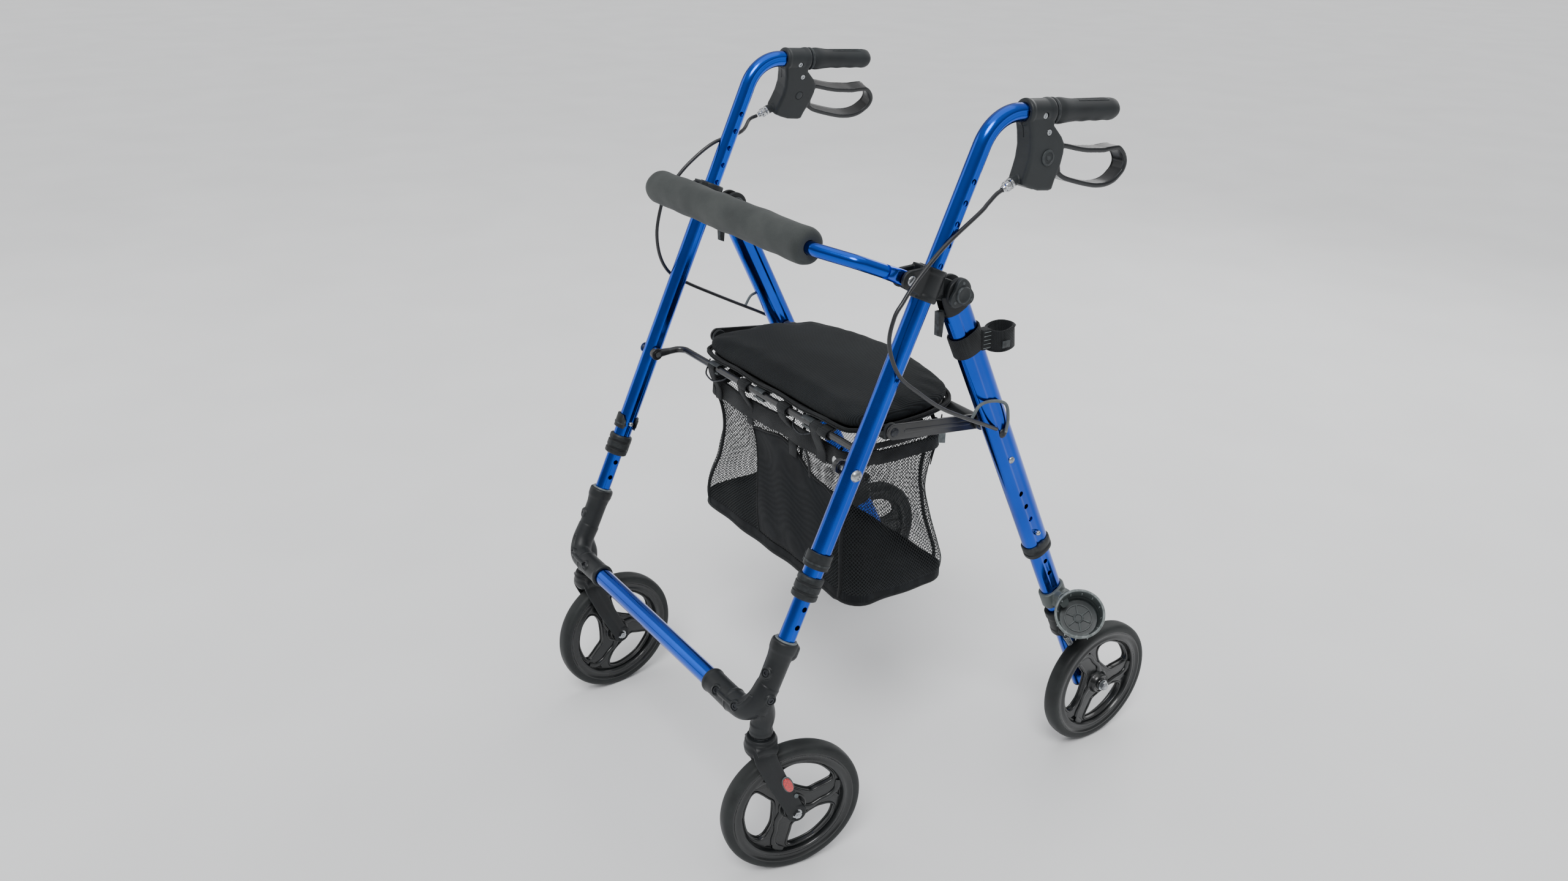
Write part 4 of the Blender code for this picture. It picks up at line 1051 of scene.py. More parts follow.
def fold_hub(side, tag):
    """Slotted head at the top of the rear leg."""
    leg_x = side * LEG_X
    geo = Geo()
    for k in (1, -1):
        geo.lathe([(0, 0), (0.018, 0), (0.0187, 0.001), (0.0187, 0.0052),
                   (0.0176, 0.0066), (0, 0.0068)],
                  pose((leg_x + k * 0.0056, *FOLD), X * k), 56)
    # (z, x scale, y scale) of the skirt
    skirt = [(0.7215, 0.94, 0.95), (0.7228, 1.0, 1.0), (0.728, 1.0, 1.0),
             (0.734, 0.99, 1.0), (0.742, 0.96, 0.97), (0.747, 0.9, 0.92)]
    geo.sweep([rear_leg(side, row[0]) for row in skirt], oval(0.0132, 0.0197, 56, 2.4),
              up=Y, scale=[row[1:] for row in skirt])
    geo.sweep([rear_leg(side, 0.706), rear_leg(side, 0.724)], oval(0.009, 0.016, 40, 2.3),
              up=Y)

    def slot(reach, top):
        return Geo().block((leg_x - reach[0], FOLD[0] - 0.045, FOLD[1] - 0.016),
                           (leg_x + reach[0], FOLD[0] + reach[1], FOLD[1] + top), 0.0002)
    cuts = [slot((0.0053, 0.0128), 0.03),
            Geo().pin(FOLD, leg_x - 0.03, leg_x + 0.03, 0.0043)]
    # the same slot where the bracket arm stands when the walker is folded
    cuts += [slot((0.0054, 0.006), 0.02).move(about((leg_x, *FOLD), degrees, "X"))
             for degrees in (14, 29)]
    geo.make(f"fold_hub_{tag}", BLACK, "rear_frame", "black_plastic",
             f"rear_leg_head_{tag}", cast=(0.0008, 3), cuts=cuts)


def hub_caps(side, tag):
    """Three-lobed cap on the outboard face, plain screw cap inboard."""
    leg_x = side * LEG_X
    outline = []
    for i in range(96):
        angle = 2 * math.pi * i / 96
        radius = 0.0166 + 0.003 * math.cos(3 * (angle - math.radians(92)))
        outline.append((radius * math.cos(angle), radius * math.sin(angle)))
    base = pose((leg_x + side * 0.0122, *FOLD), X * side, Y)
    geo = Geo().plate([outline], 0.0, 0.0056, base, 0.0018, rounds=4)
    geo.lathe([(0, 0.004), (0.0102, 0.004), (0.0106, 0.0072), (0.0098, 0.0084),
               (0.008, 0.0076), (0.0068, 0.0066), (0, 0.0062)], base, 48)
    for k in range(3):
        geo.lathe([(0, 0.005), (0.0022, 0.005), (0.0017, 0.0064), (0, 0.0066)],
                  base @ Matrix.Translation((*polar(0.0142, 92 + 120 * k), 0)), 20)
    geo.make(f"fold_hub_cap_{tag}", GREY, "rear_frame", "grey_plastic", sharp=45)
    Geo().lathe([(0, 0), (0.012, 0), (0.0124, 0.0012), (0.0112, 0.003), (0.007, 0.004),
                 (0, 0.0042)], pose((leg_x - side * 0.0122, *FOLD), X * -side, Y), 40).make(
        f"fold_hub_inner_cap_{tag}", GREY, "rear_frame", "grey_plastic")


for each_side in SIDES:
    for build in (front_tubes, rear_tubes, handle_tube, sleeve_collar, snap_ring,
                  spring_pins, seat_bolt, rear_tube_collar, rear_leg_heads, fold_bracket,
                  bracket_pins, fold_hub, hub_caps):
        build(*each_side)


# ---------------------------------------------------------------- front casting, caster, wheels
def front_casting(side, tag):
    leg_x, caster_x = side * LEG_X, side * CASTER_X
    socket_z = 0.256
    base = pose(front_leg(side, socket_z), FRONT_UP)

    def along(z):
        """Length up the leg from the socket foot to height z."""
        return (z - socket_z) * (1 / FRONT_UP.z)
    # slim tapering socket
    geo = Geo().lathe([(0, 0), (0.012, 0), (0.0136, 0.006)]
                      + [(radius, along(z)) for radius, z in (
                          (0.0142, 0.275), (0.0146, 0.3), (0.015, 0.322), (0.016, 0.33),
                          (0.0172, 0.3335), (0.0175, 0.34), (0.017, 0.3435),
                          (0.015, 0.3448), (0, 0.3448))], base, 56)
    # boss lobe behind the lip
    geo.lathe([(0, -0.01), (0.007, -0.009), (0.0092, -0.004), (0.0092, 0.007),
               (0.008, 0.0095), (0, 0.01)],
              pose(front_leg(side, 0.33) + Vector((side * 0.006, 0.01, 0)), FRONT_UP), 28)
    # elbow into the swivel stem, and its foot
    path = smooth_path([front_leg(side, 0.3), front_leg(side, 0.272),
                        (side * 0.24, CASTER_Y + 0.003, 0.247),
                        (caster_x, CASTER_Y, 0.229), (caster_x, CASTER_Y, 0.22)])
    geo.sweep(path, circle(0.014, 40), up=Y, scale=lambda t: 1.0 - 0.02 * t)
    geo.lathe([(0, 0), (0.013, 0), (0.015, 0.0012), (0.0152, 0.005), (0.0143, 0.0075),
               (0.014, 0.016), (0, 0.016)], pose((caster_x, CASTER_Y, 0.219)), 56)
    # elbow into the crossbar sleeve, its end ring, raised rib and flange
    path = smooth_path([front_leg(side, 0.29),
                        front_leg(side, 0.27) + Vector((-side * 0.003, -0.004, 0)),
                        (side * 0.228, BAR[0] + 0.003, BAR[1] + 0.003),
                        (side * 0.208, *BAR), (side * 0.156, *BAR)])
    geo.sweep(path, circle(0.0154, 40), up=Y)
    geo.lathe([(0, 0), (0.015, 0), (0.0163, 0.0012), (0.0165, 0.005), (0.0157, 0.007),
               (0.0154, 0.012), (0, 0.012)], pose((side * 0.15, *BAR), X * side), 56)
    geo.sweep([point + Vector((0, -0.012, 0.0065)) for point in path[6:30]],
              oval(0.003, 0.0048, 16))
    geo.lathe([(0, 0), (0.016, 0), (0.0166, 0.0015), (0.016, 0.003), (0, 0.003)],
              pose((side * 0.201, *BAR), X * side), 48)
    # ringed screw bosses, (centre, direction)
    bosses = [(Vector(place), Vector(facing).normalized()) for place, facing in (
        ((side * 0.179, *BAR), (0.20 * side, -0.86, 0.47)),
        ((side * 0.218, BAR[0] + 0.002, BAR[1] + 0.004), (0.35 * side, -0.90, 0.25)),
        (front_leg(side, 0.306), (side * 0.25, -0.93, 0.35)),
        (front_leg(side, 0.278), (side, -0.1, 0.0)))]
    for place, facing in bosses:
        geo.lathe([(0, 0.006), (0.0078, 0.006), (0.0078, 0.0152), (0.007, 0.0166),
                   (0, 0.0166)], pose(place, facing), 32)
    cut = Geo().bar(front_leg(side, 0.319), front_leg(side, 0.37), INNER_R + 0.0004, 64)
    cut.bar((side * 0.14, *BAR), (side * 0.2245, *BAR), 0.0129, 64)
    cut.bar((caster_x, CASTER_Y, 0.21), (caster_x, CASTER_Y, 0.239), 0.0062, 40)
    for place, facing in bosses:
        cut.bar(place + facing * 0.015, place + facing * 0.022, 0.0052)
    geo.make(f"front_casting_{tag}", CAST, "front_carriage", "black_casting",
             f"caster_connector_{tag}", cast=(0.00085, 5), cuts=[cut])

    geo = Geo()
    for place, facing in bosses:
        geo.socket_head(place + facing * 0.015, facing, 0.0044, 0.0014)
    geo.make(f"casting_screws_{tag}", DARK_STEEL, "front_carriage", "black_steel")
    # pale liner inside the socket lip
    bore = INNER_R + 0.0002
    Geo().lathe([(radius, along(z)) for radius, z in (
        (bore, 0.339), (0.0138, 0.339), (0.0142, 0.3452), (0.0136, 0.3462),
        (bore, 0.3462))], base, 56, closed=True).make(
        f"socket_liner_{tag}", MID_GREY, "front_carriage", "grey_plastic")


def caster_place(side):
    """Casters are built pointing along +Y on their swivel axis, then turned."""
    return (Matrix.Translation((side * CASTER_X, CASTER_Y, 0))
            @ Matrix.Rotation(math.radians(-SWIVEL[side]), 4, "Z"))


def caster_fork(side, tag):
    place = caster_place(side)
    # bearing cup with a stepped rim, and the shoulders over the wheel
    geo = Geo().lathe([(0, 0.194), (0.018, 0.194), (0.0205, 0.198), (0.0208, 0.204),
                       (0.0206, 0.211), (0.0196, 0.2122), (0.0188, 0.213),
                       (0.0186, 0.215), (0.0176, 0.2166), (0, 0.2166)], None, 64)
    geo.sweep(smooth_path([(0, -0.013, 0.202), (0, 0, 0.205), (0, 0.014, 0.201)]),
              oval(0.0216, 0.0098, 40, 2.6))
    for k in (1, -1):
        path = smooth_path([(k * 0.015, -0.001, 0.201), (k * 0.0186, 0, 0.19),
                            (k * 0.019, 0.006, 0.174), (k * 0.019, 0.017, 0.148),
                            (k * 0.019, 0.031, 0.118), (k * 0.019, TRAIL, AXLE_Z)])
        geo.sweep(path, oval(0.0026, 0.0128, 36, 2.8), up=Y,
                  scale=lambda t: (1.0, 1.22 - 0.30 * t))
        geo.sweep([point + Vector((k * 0.0012, 0, 0)) for point in path],
                  oval(0.0022, 0.0044, 20), up=Y)
        geo.lathe([(0, -0.0028), (0.0128, -0.0028), (0.0132, -0.001), (0.0132, 0.0012),
                   (0.012, 0.0026), (0.0096, 0.003), (0.0092, 0.0016), (0, 0.0016)],
                  pose((k * 0.019, TRAIL, AXLE_Z), X * k), 48)
    # nose ahead of the stem
    geo.lathe([(0, -0.011), (0.008, -0.01), (0.013, -0.004), (0.014, 0.003),
               (0.012, 0.009), (0, 0.011)], pose((0, -0.011, 0.199)), 40,
              warp=lambda x, y, z: (x * 1.25, y * 0.75, z))
    axle = Geo().bar((-0.03, TRAIL, AXLE_Z), (0.03, TRAIL, AXLE_Z), 0.0042)
    gap = Geo().block((-0.0162, TRAIL - 0.13, AXLE_Z - 0.03),
                      (0.0162, TRAIL + 0.05, 0.1915), 0.004, segments=4)
    geo.make(f"caster_fork_shell_{tag}", BLACK, f"caster_{tag}", "black_plastic",
             f"caster_fork_{tag}", place=place, cast=(0.0009, 4),
             cuts=[axle.move(place), gap.move(place)])


def caster_fittings(side, tag):
    place, body = caster_place(side), f"caster_{tag}"
    geo = Geo().lathe([(0.0056, 0.216), (0.0056, 0.237), (0, 0.237)], None, 32)
    geo.lathe([(0.0056, 0.2168), (0.0128, 0.2168), (0.0134, 0.2174), (0.0134, 0.2182),
               (0.0056, 0.2187)], None, 48, closed=True)
    geo.move(place).make(f"caster_stem_{tag}", STEEL, body, "steel")

    geo = Geo().lathe([(0, 0.0218), (0.0038, 0.0218), (0.0038, -0.0218), (0, -0.0218)],
                      pose((0, TRAIL, AXLE_Z), X * side), 24)
    for k in (1, -1):
        geo.hex_head((k * 0.0208, TRAIL, AXLE_Z), X * k, 0.0052, 0.0036)
    geo.move(place).make(f"caster_axle_bolt_{tag}", STEEL, body, "steel",
                         f"caster_axle_{tag}")

    # reflector, its holder and a screw on the outboard leg of the fork
    base = pose((side * 0.0212, 0.028, 0.146), X * side, (0, -0.38, 0.92))
    Geo().plate([oval(0.0118, 0.0056, 48, 2.2)], -0.0006, 0.0022, base, 0.001,
                rounds=3).move(place).make(f"caster_reflector_{tag}", RED, body, "steel")
    geo = Geo().plate([oval(0.0134, 0.007, 48, 2.2)], -0.0012, 0.0008, base, 0.0006)
    geo.dome_head((side * 0.0212, 0.04, 0.124), X * side, 0.003, 0.0016)
    geo.move(place).make(f"reflector_holder_{tag}", MID_GREY, body, "grey_plastic")


# half profiles as (radius, half width)
TREAD_HALF = [(0.083, 0.0106), (0.0846, 0.0116), (0.0872, 0.012), (0.0905, 0.0117),
              (0.093, 0.0098), (0.0945, 0.007), (0.0951, 0.0034), (WHEEL_R, 0.0)]
RIM_HALF = [(0.069, 0.003), (0.0694, 0.0078), (0.0706, 0.0096), (0.0724, 0.01),
            (0.0742, 0.0094), (0.0756, 0.0086), (0.079, 0.0086), (0.0806, 0.0096),
            (0.0822, 0.0112), (0.0842, 0.0112)]
HUB_PROFILE = [(0.0044, 0.0146), (0.0062, HUB_HALF), (0.0078, 0.015), (0.0086, 0.014),
               (0.0088, 0.0128), (0.0112, 0.0124), (0.0122, 0.0134), (0.0136, 0.0138),
               (0.0148, 0.0128), (0.0156, 0.01), (0.0172, 0.0066), (0.019, 0.0058)]
# swept opening, spoke ridge and rim pocket as (radius, degrees)
OPENING = [(0.066, -36), (0.0668, -12), (0.0668, 14), (0.064, 31), (0.056, 37),
           (0.045, 36), (0.035, 30), (0.0268, 10), (0.0252, -22), (0.03, -40),
           (0.04, -44), (0.054, -47), (0.063, -46)]
SPOKE_RIDGE = [(0.016, -34), (0.028, -22), (0.04, -8), (0.053, -3), (0.064, 4), (0.07, 14)]
RIM_POCKET = [(0.061, -1), (0.0668, -8), (0.0668, 2)]
SPOKE_ANGLE = 54  # from an opening to the next spoke


def wheel(name, base, spin):
    """Tread and three-spoked rim; spin is the angle of the first opening."""
    axis = base.to_3x3() @ Z
    Geo().lathe(TREAD_HALF + flipped(TREAD_HALF[:-1]) + [(0.083, 0.0)], base, 120,
                closed=True).make(name + "_built_tread", TREAD, name, "wheel_rubber")

    geo = Geo().lathe(RIM_HALF + flipped(RIM_HALF), base, 120, closed=True)
    geo.lathe(HUB_PROFILE + flipped(HUB_PROFILE), base, 72, closed=True)
    # web with three swept openings, a rounded lip round each
    openings = [smooth_outline([polar(radius, spin + 120 * k + degrees)
                                for radius, degrees in OPENING], 5) for k in range(3)]
    geo.plate([circle(0.07, 120)] + [opening[::-1] for opening in openings],
              -0.0042, 0.0042, base, 0.0016, rounds=3)
    for opening in openings:
        for z in (0.0038, -0.0038):
            geo.sweep([base @ Vector((x, y, z)) for x, y in opening], circle(0.0017, 10),
                      closed=True, up=axis)
    # raised ridges along the spokes, and shallow pockets at their outer ends
    cut = Geo()
    for k in range(3):
        spoke = spin + 120 * k + SPOKE_ANGLE
        for z in (0.0046, -0.0046):
            ridge = smooth_path([(*polar(radius, spoke + degrees), z)
                                 for radius, degrees in SPOKE_RIDGE])
            geo.sweep([base @ point for point in ridge], oval(0.0036, 0.0026, 16), up=axis,
                      scale=lambda t: (1.6 - 0.7 * math.sin(math.pi * min(1, t * 1.1)),
                                       1.0 - 0.25 * t))
        for low, high in ((0.002, 0.011), (-0.011, -0.002)):
            cut.plate([[polar(radius, spoke + degrees) for radius, degrees in RIM_POCKET]],
                      low, high, base, 0.0012)
    rim = geo.make(name + "_built_rim", WHEEL_PLASTIC)
    drill(rim, cut, sharp=40)
    register(rim, name, name)


for sign, word in SIDES:
    front_casting(sign, word)
    caster_fork(sign, word)
    caster_fittings(sign, word)
    heading = caster_place(sign)
    wheel(f"front_wheel_{word}",
          pose(heading @ Vector((0, TRAIL, AXLE_Z)),
               heading.to_3x3() @ Vector((sign, 0, 0)), Y), spin=70)
    wheel(f"rear_wheel_{word}",
          pose((sign * REAR_WHEEL_X, REAR_AXLE_Y, AXLE_Z), X * sign, Y), spin=60)


# ---------------------------------------------------------------- rear wheel ends
def brake_clamp(side, tag):
    leg_x, body = side * LEG_X, f"rear_extension_{tag}"
    foot = rear_leg(side, 0.1885)
    # (height, scale) along the leg
    stations = [(0, 0.92), (0.0012, 0.985), (0.004, 1.0), (0.011, 1.0), (0.0122, 0.96),
                (0.014, 0.955), (0.032, 0.955), (0.034, 0.96), (0.0355, 1.0),
                (0.046, 1.0), (0.0475, 0.985), (0.0482, 0.94)]
    geo = Geo().sweep([foot + REAR_UP * height for height, _ in stations],
                      oval(0.0142, 0.0207, 64, 2.5), up=Y,
                      scale=[size for _, size in stations])
    # boss for the shoe pivot, and a clamp ear behind
    geo.block((leg_x + side * 0.008, SHOE[0] - 0.011, SHOE[1] - 0.0125),
              (leg_x + side * 0.015, SHOE[0] + 0.011, SHOE[1] + 0.0105), 0.003, segments=3)
    geo.lathe([(0, 0), (0.009, 0), (0.0086, 0.0012), (0, 0.0012)],
              pose((leg_x + side * 0.0142, *SHOE), X * side), 36)
    ear = rear_leg(side, 0.218) + Vector((0, 0.019, 0.006))
    geo.block((leg_x - 0.0075, ear.y - 0.002, ear.z - 0.012),
              (leg_x + 0.0075, ear.y + 0.0085, ear.z + 0.01), 0.0028, segments=3)
    cut = Geo().sweep([rear_leg(side, 0.16), rear_leg(side, 0.26)],
                      oval(RIN_A + 0.0002, RIN_B + 0.0002, 64, 2.4), up=Y)
    geo.make(f"brake_clamp_{tag}", BLACK, body, "black_plastic", f"brake_bracket_{tag}",
             cast=(0.0008, 3), cuts=[cut])
    geo = Geo().pin(SHOE, leg_x + side * 0.014, leg_x + side * 0.0236, 0.0031)
    geo.dome_head((leg_x + side * 0.0226, *SHOE), X * side, 0.005, 0.0026)
    for k in (1, -1):
        geo.hex_head((leg_x + k * 0.0076, ear.y + 0.0035, ear.z), X * k, 0.0036, 0.0018)
    geo.make(f"shoe_pivot_screws_{tag}", STEEL, body, "steel")


def brake_shoe(side, tag):
    """Ribbed arm ending in a ridged pressing roller."""
    leg_x = side * LEG_X
    y, z = DATUM_Y + 0.5806, 0.1965
    geo = Geo().yz_plate([capsule(SHOE, (y, z), 0.0062, 14, 0.0064)],
                         leg_x + side * 0.0154, leg_x + side * 0.0214, 0.0016, 3)
    geo.yz_plate([capsule((SHOE[0] + 0.006, SHOE[1] - 0.002), (y - 0.004, z + 0.001),
                          0.003, 10)], leg_x + side * 0.021, leg_x + side * 0.0226)
    base = pose((leg_x + side * 0.018, y, z), X * side, Y)
    ridged = [0.0052 + 0.0005 * ((i // 3) % 2) for i in range(72)]
    geo.plate([[(radius * cos, radius * sin)
                for radius, (cos, sin) in zip(ridged, circle(1.0, 72))]],
              0.0, 0.024, base, 0.0006)
    geo.lathe([(0, 0.0235), (0.004, 0.0235), (0.0034, 0.025), (0, 0.025)], base, 24)
    geo.make(f"brake_shoe_arm_{tag}", BLACK, f"brake_shoe_{tag}", "black_plastic",
             f"brake_shoe_{tag}")


def return_spring(side, tag):
    """Coil spring between clamp and shoe, with its rod and cable stop."""
    leg_x, body = side * LEG_X, f"rear_extension_{tag}"
    top = Vector(spot(leg_x + side * 0.0225, 0.5395, 0.1905))
    foot = Vector(spot(leg_x + side * 0.0225, 0.556, 0.168))
    run = foot - top
    base = pose(top, run)
    steps = 9 * 16  # nine turns
    coil = []
    for i in range(steps + 1):
        angle = i / 16 * 2 * math.pi
        coil.append(base @ Vector((0.0036 * math.cos(angle), 0.0036 * math.sin(angle),
                                   run.length * i / steps)))
    Geo().sweep(coil, circle(0.00065, 8), up=run.normalized()).make(
        f"return_spring_{tag}", STEEL, body, "steel")
    geo = Geo().rod(top - run * 0.35, foot + run * 0.12, 0.0009)
    geo.lathe([(0, 0), (0.0046, 0), (0.0048, 0.0006), (0.0046, 0.0014), (0, 0.0014)],
              pose(foot, run), 24)
    geo.make(f"spring_rod_{tag}", DARK_STEEL, body, "black_steel")
    Geo().block((leg_x + side * 0.012, top.y - 0.0055, top.z + 0.001),
                (leg_x + side * 0.027, top.y + 0.005, top.z + 0.009), 0.002,
                segments=3).make(f"cable_stop_{tag}", BLACK, body, "black_plastic")


def rear_axle(side, tag):
    body = f"rear_extension_{tag}"
    base = pose((side * LEG_X, REAR_AXLE_Y, AXLE_Z), X * side, Y)
    geo = Geo().lathe([(0, 0.048), (0.0041, 0.048), (0.0041, -0.012), (0, -0.012)],
                      base, 28)
    geo.lathe([(0.0041, 0.0468), (0.0082, 0.0468), (0.0084, 0.0474), (0.0082, 0.0482),
               (0.0041, 0.0482)], base, 40, closed=True)
    nut = hexagon(0.0066)
    geo.plate([nut], 0.0478, 0.0536, base)
    geo.lathe([(0, 0.053), (0.005, 0.053), (0.0046, 0.0546), (0.003, 0.0556), (0, 0.0558)],
              base, 32)
    geo.plate([nut], -0.015, -0.01, base)
    geo.lathe([(0.0041, 0.0138), (0.0074, 0.0138), (0.0076, 0.0146), (0.0074, 0.0156),
               (0.0041, 0.0156)], base, 40, closed=True)
    geo.make(f"rear_axle_bolt_{tag}", STEEL, body, "steel", f"rear_axle_{tag}")
    Geo().lathe([(0.0043, 0.0102), (0.0066, 0.0102), (0.0066, 0.0137), (0.0043, 0.0137)],
                base, 32, closed=True).make(
        f"rear_axle_spacer_{tag}", BLACK, body, "black_plastic")


# ---------------------------------------------------------------- grip, brake housing, lever
HOUSING_SCREWS = yz_points((0.4061, 0.9368), (0.415, 0.917))
# side outline of the housing, (y, z)
HOUSING_OUTLINE = yz_points(
    (0.3826, 0.933), (0.3866, 0.918), (0.3888, 0.9022), (0.3874, 0.888), (0.384, 0.876),
    (0.3806, 0.866), (0.3812, 0.8596), (0.3928, 0.8543), (0.4058, 0.8498),
    (0.424, 0.8476), (0.4296, 0.8486), (0.433, 0.859), (0.4366, 0.8672),
    (0.4405, 0.8767), (0.4435, 0.89), (0.4437, 0.901), (0.438, 0.91), (0.431, 0.917),
    (0.424, 0.924), (0.4236, 0.94), (0.3826, 0.942))
# centre line of the lever strap, (y, z)
LEVER_LINE = yz_points(
    (0.439, 0.8983), (0.448, 0.8975), (0.468, 0.8924), (0.4846, 0.8889), (0.501, 0.887),
    (0.5147, 0.8857), (0.5263, 0.8862), (0.5363, 0.8862), (0.5425, 0.8848),
    (0.551, 0.8768), (0.5552, 0.8672), (0.5531, 0.8582), (0.547, 0.8519),
    (0.5384, 0.8462), (0.5258, 0.8431), (0.5096, 0.8434), (0.4928, 0.8467),
    (0.4672, 0.8539), (0.45, 0.86), (0.44, 0.8662))


def clamp_place(side):
    return about((side * LEG_X, RING_Y, RING_Z), TURN[side], HANDLE_DIR)


def palm(x, y, z):
    """Shallow finger swells underneath and slightly flattened sides."""
    angle, factor = math.atan2(y, x), 1.0
    if z > 0.024:
        fade = min(1.0, (z - 0.024) / 0.02)
        under = max(0.0, math.sin(angle)) ** 2
        factor += 0.05 * under * fade * math.cos((z - 0.03) / 0.0235 * 2 * math.pi) * 0.6
        factor += 0.022 * fade * math.cos(4 * angle)
    return (x * factor, y * factor, z)


def hand_grip(side, tag):
    length = (GRIP_Y1 - GRIP_Y0) / HANDLE_DIR.y
    base = pose((side * LEG_X, GRIP_Y0, handle_z(GRIP_Y0)), HANDLE_DIR)
    profile = [(0.0113, 0), (0.0146, 0), (0.0156, 0.0008), (0.0158, 0.0022),
               (0.0154, 0.0036), (0.0142, 0.0044), (0.0138, 0.0052), (0.0143, 0.0066),
               (0.0151, 0.0095), (0.0154, 0.0125), (0.0152, 0.016), (0.0146, 0.0215),
               (0.0138, 0.028), (0.0133, 0.034), (0.0131, 0.042)]
    for i in range(1, 15):
        profile.append((0.0131 - 0.0002 * math.sin(math.pi * i / 14),
                        0.042 + (length - 0.012 - 0.042) * i / 14))
    profile += [(radius, length - inset) for radius, inset in (
        (0.0129, 0.01), (0.0124, 0.006), (0.0114, 0.003), (0.0098, 0.0012),
        (0.007, 0.0002), (0.004, 0), (0, 0))]
    geo = Geo().lathe(profile, base, 72, warp=palm)
    # raised ribs on top of the grip
    for k in range(-2, 3):
        x, y = polar(0.0131, -90 + 13 * k)
        path = [base @ Vector((x, y, z)) for z in np.linspace(0.04, length - 0.018, 14)]
        geo.sweep(path, oval(0.0007, 0.0005, 10),
                  up=base.to_3x3() @ Vector((*polar(1.0, -90 + 13 * k), 0)))
    geo.make(f"hand_grip_{tag}", GRIP_RUBBER, f"handle_{tag}", "grey_plastic",
             f"grip_{tag}")


def brake_housing(side, tag):
    """Sleeve round the handle tube above, rounded plate body below."""
    leg_x, place = side * LEG_X, clamp_place(side)
    geo = Geo().yz_plate([HOUSING_OUTLINE], leg_x - 0.0134, leg_x + 0.0134, 0.004, 4)
    start, end = DATUM_Y + 0.3836, DATUM_Y + 0.4244
    length = (end - start) / HANDLE_DIR.y
    geo.lathe([(0, 0), (0.0138, 0), (0.0154, 0.0014), (0.0158, 0.004), (0.015, 0.007)]
              + [(radius, length - inset) for radius, inset in (
                  (0.0149, 0.01), (0.0156, 0.007), (0.016, 0.004), (0.0158, 0.001),
                  (0.0146, 0), (0, 0))],
              pose((leg_x, start, handle_z(start)), HANDLE_DIR), 64)
    # spine for the cable entry in front
    geo.lathe([(0, 0), (0.0062, 0), (0.0066, 0.0015), (0.006, 0.01), (0.008, 0.018),
               (0, 0.018)], pose(spot(leg_x, 0.3725, 0.861), (0, 0.80, 0.28)), 32)
    housing = geo.make(f"brake_body_{tag}", GREY, cast=(0.0008, 3))

    slot = Geo().block(spot(leg_x - 0.0112, 0.399, 0.84), spot(leg_x + 0.0112, 0.46, 0.911),
                       0.0003)
    # tube bore with the screw pockets
    ends = [(leg_x, DATUM_Y + y, handle_z(DATUM_Y + y)) for y in (0.36, 0.45)]
    bore = Geo().bar(*ends, 0.0112, 64)
    for k in (1, -1):
        for centre in HOUSING_SCREWS:
            bore.pin(centre, leg_x + k * 0.0124, leg_x + k * 0.02, 0.0042)
    # pivot hole, and the clamp slit below the sleeve
    slit = Geo().pin(LEVER, leg_x - 0.02, leg_x + 0.02, 0.0064)
    slit.block(spot(leg_x - 0.0007, 0.38, 0.912), spot(leg_x + 0.0007, 0.43, 0.93), 0.0001)
    housing.data.transform(place)
    drill(housing, *[cut.move(place) for cut in (slot, bore, slit)], sharp=50)
    register(housing, f"handle_{tag}", f"brake_housing_{tag}")

    geo = Geo()
    for k in (1, -1):
        for centre in HOUSING_SCREWS:
            geo.socket_head((leg_x + k * 0.0123, *centre), X * k, 0.0036, 0.0014)
    geo.move(place).make(f"housing_screws_{tag}", STEEL, f"handle_{tag}", "steel")


def cable_adjuster(side, tag):
    """Barrel adjuster and its lock nut, running into the cable."""
    base = pose(spot(side * LEG_X, 0.379, 0.8632), Vector((0, -0.905, -0.425)).normalized())
    geo = Geo().lathe([(0, 0), (0.004, 0), (0.004, 0.0045), (0.0066, 0.005),
                       (0.0068, 0.0056), (0.0068, 0.0074), (0.0062, 0.008),
                       (0.0042, 0.0082), (0.0038, 0.009), (0.006, 0.0096),
                       (0.0062, 0.0104), (0.0062, 0.015), (0.0056, 0.0158),
                       (0.0044, 0.0166), (0.004, 0.0196), (0.0032, 0.0206),
                       (0, 0.0206)], base, 36)
    for i in range(18):
        geo.block((0.006, -0.0004, 0.0104), (0.0066, 0.0004, 0.0148), 0.0002,
                  base @ Matrix.Rotation(2 * math.pi * i / 18, 4, "Z"), segments=1)
    geo.move(clamp_place(side)).make(f"cable_adjuster_{tag}", NICKEL, f"handle_{tag}",
                                     "steel")


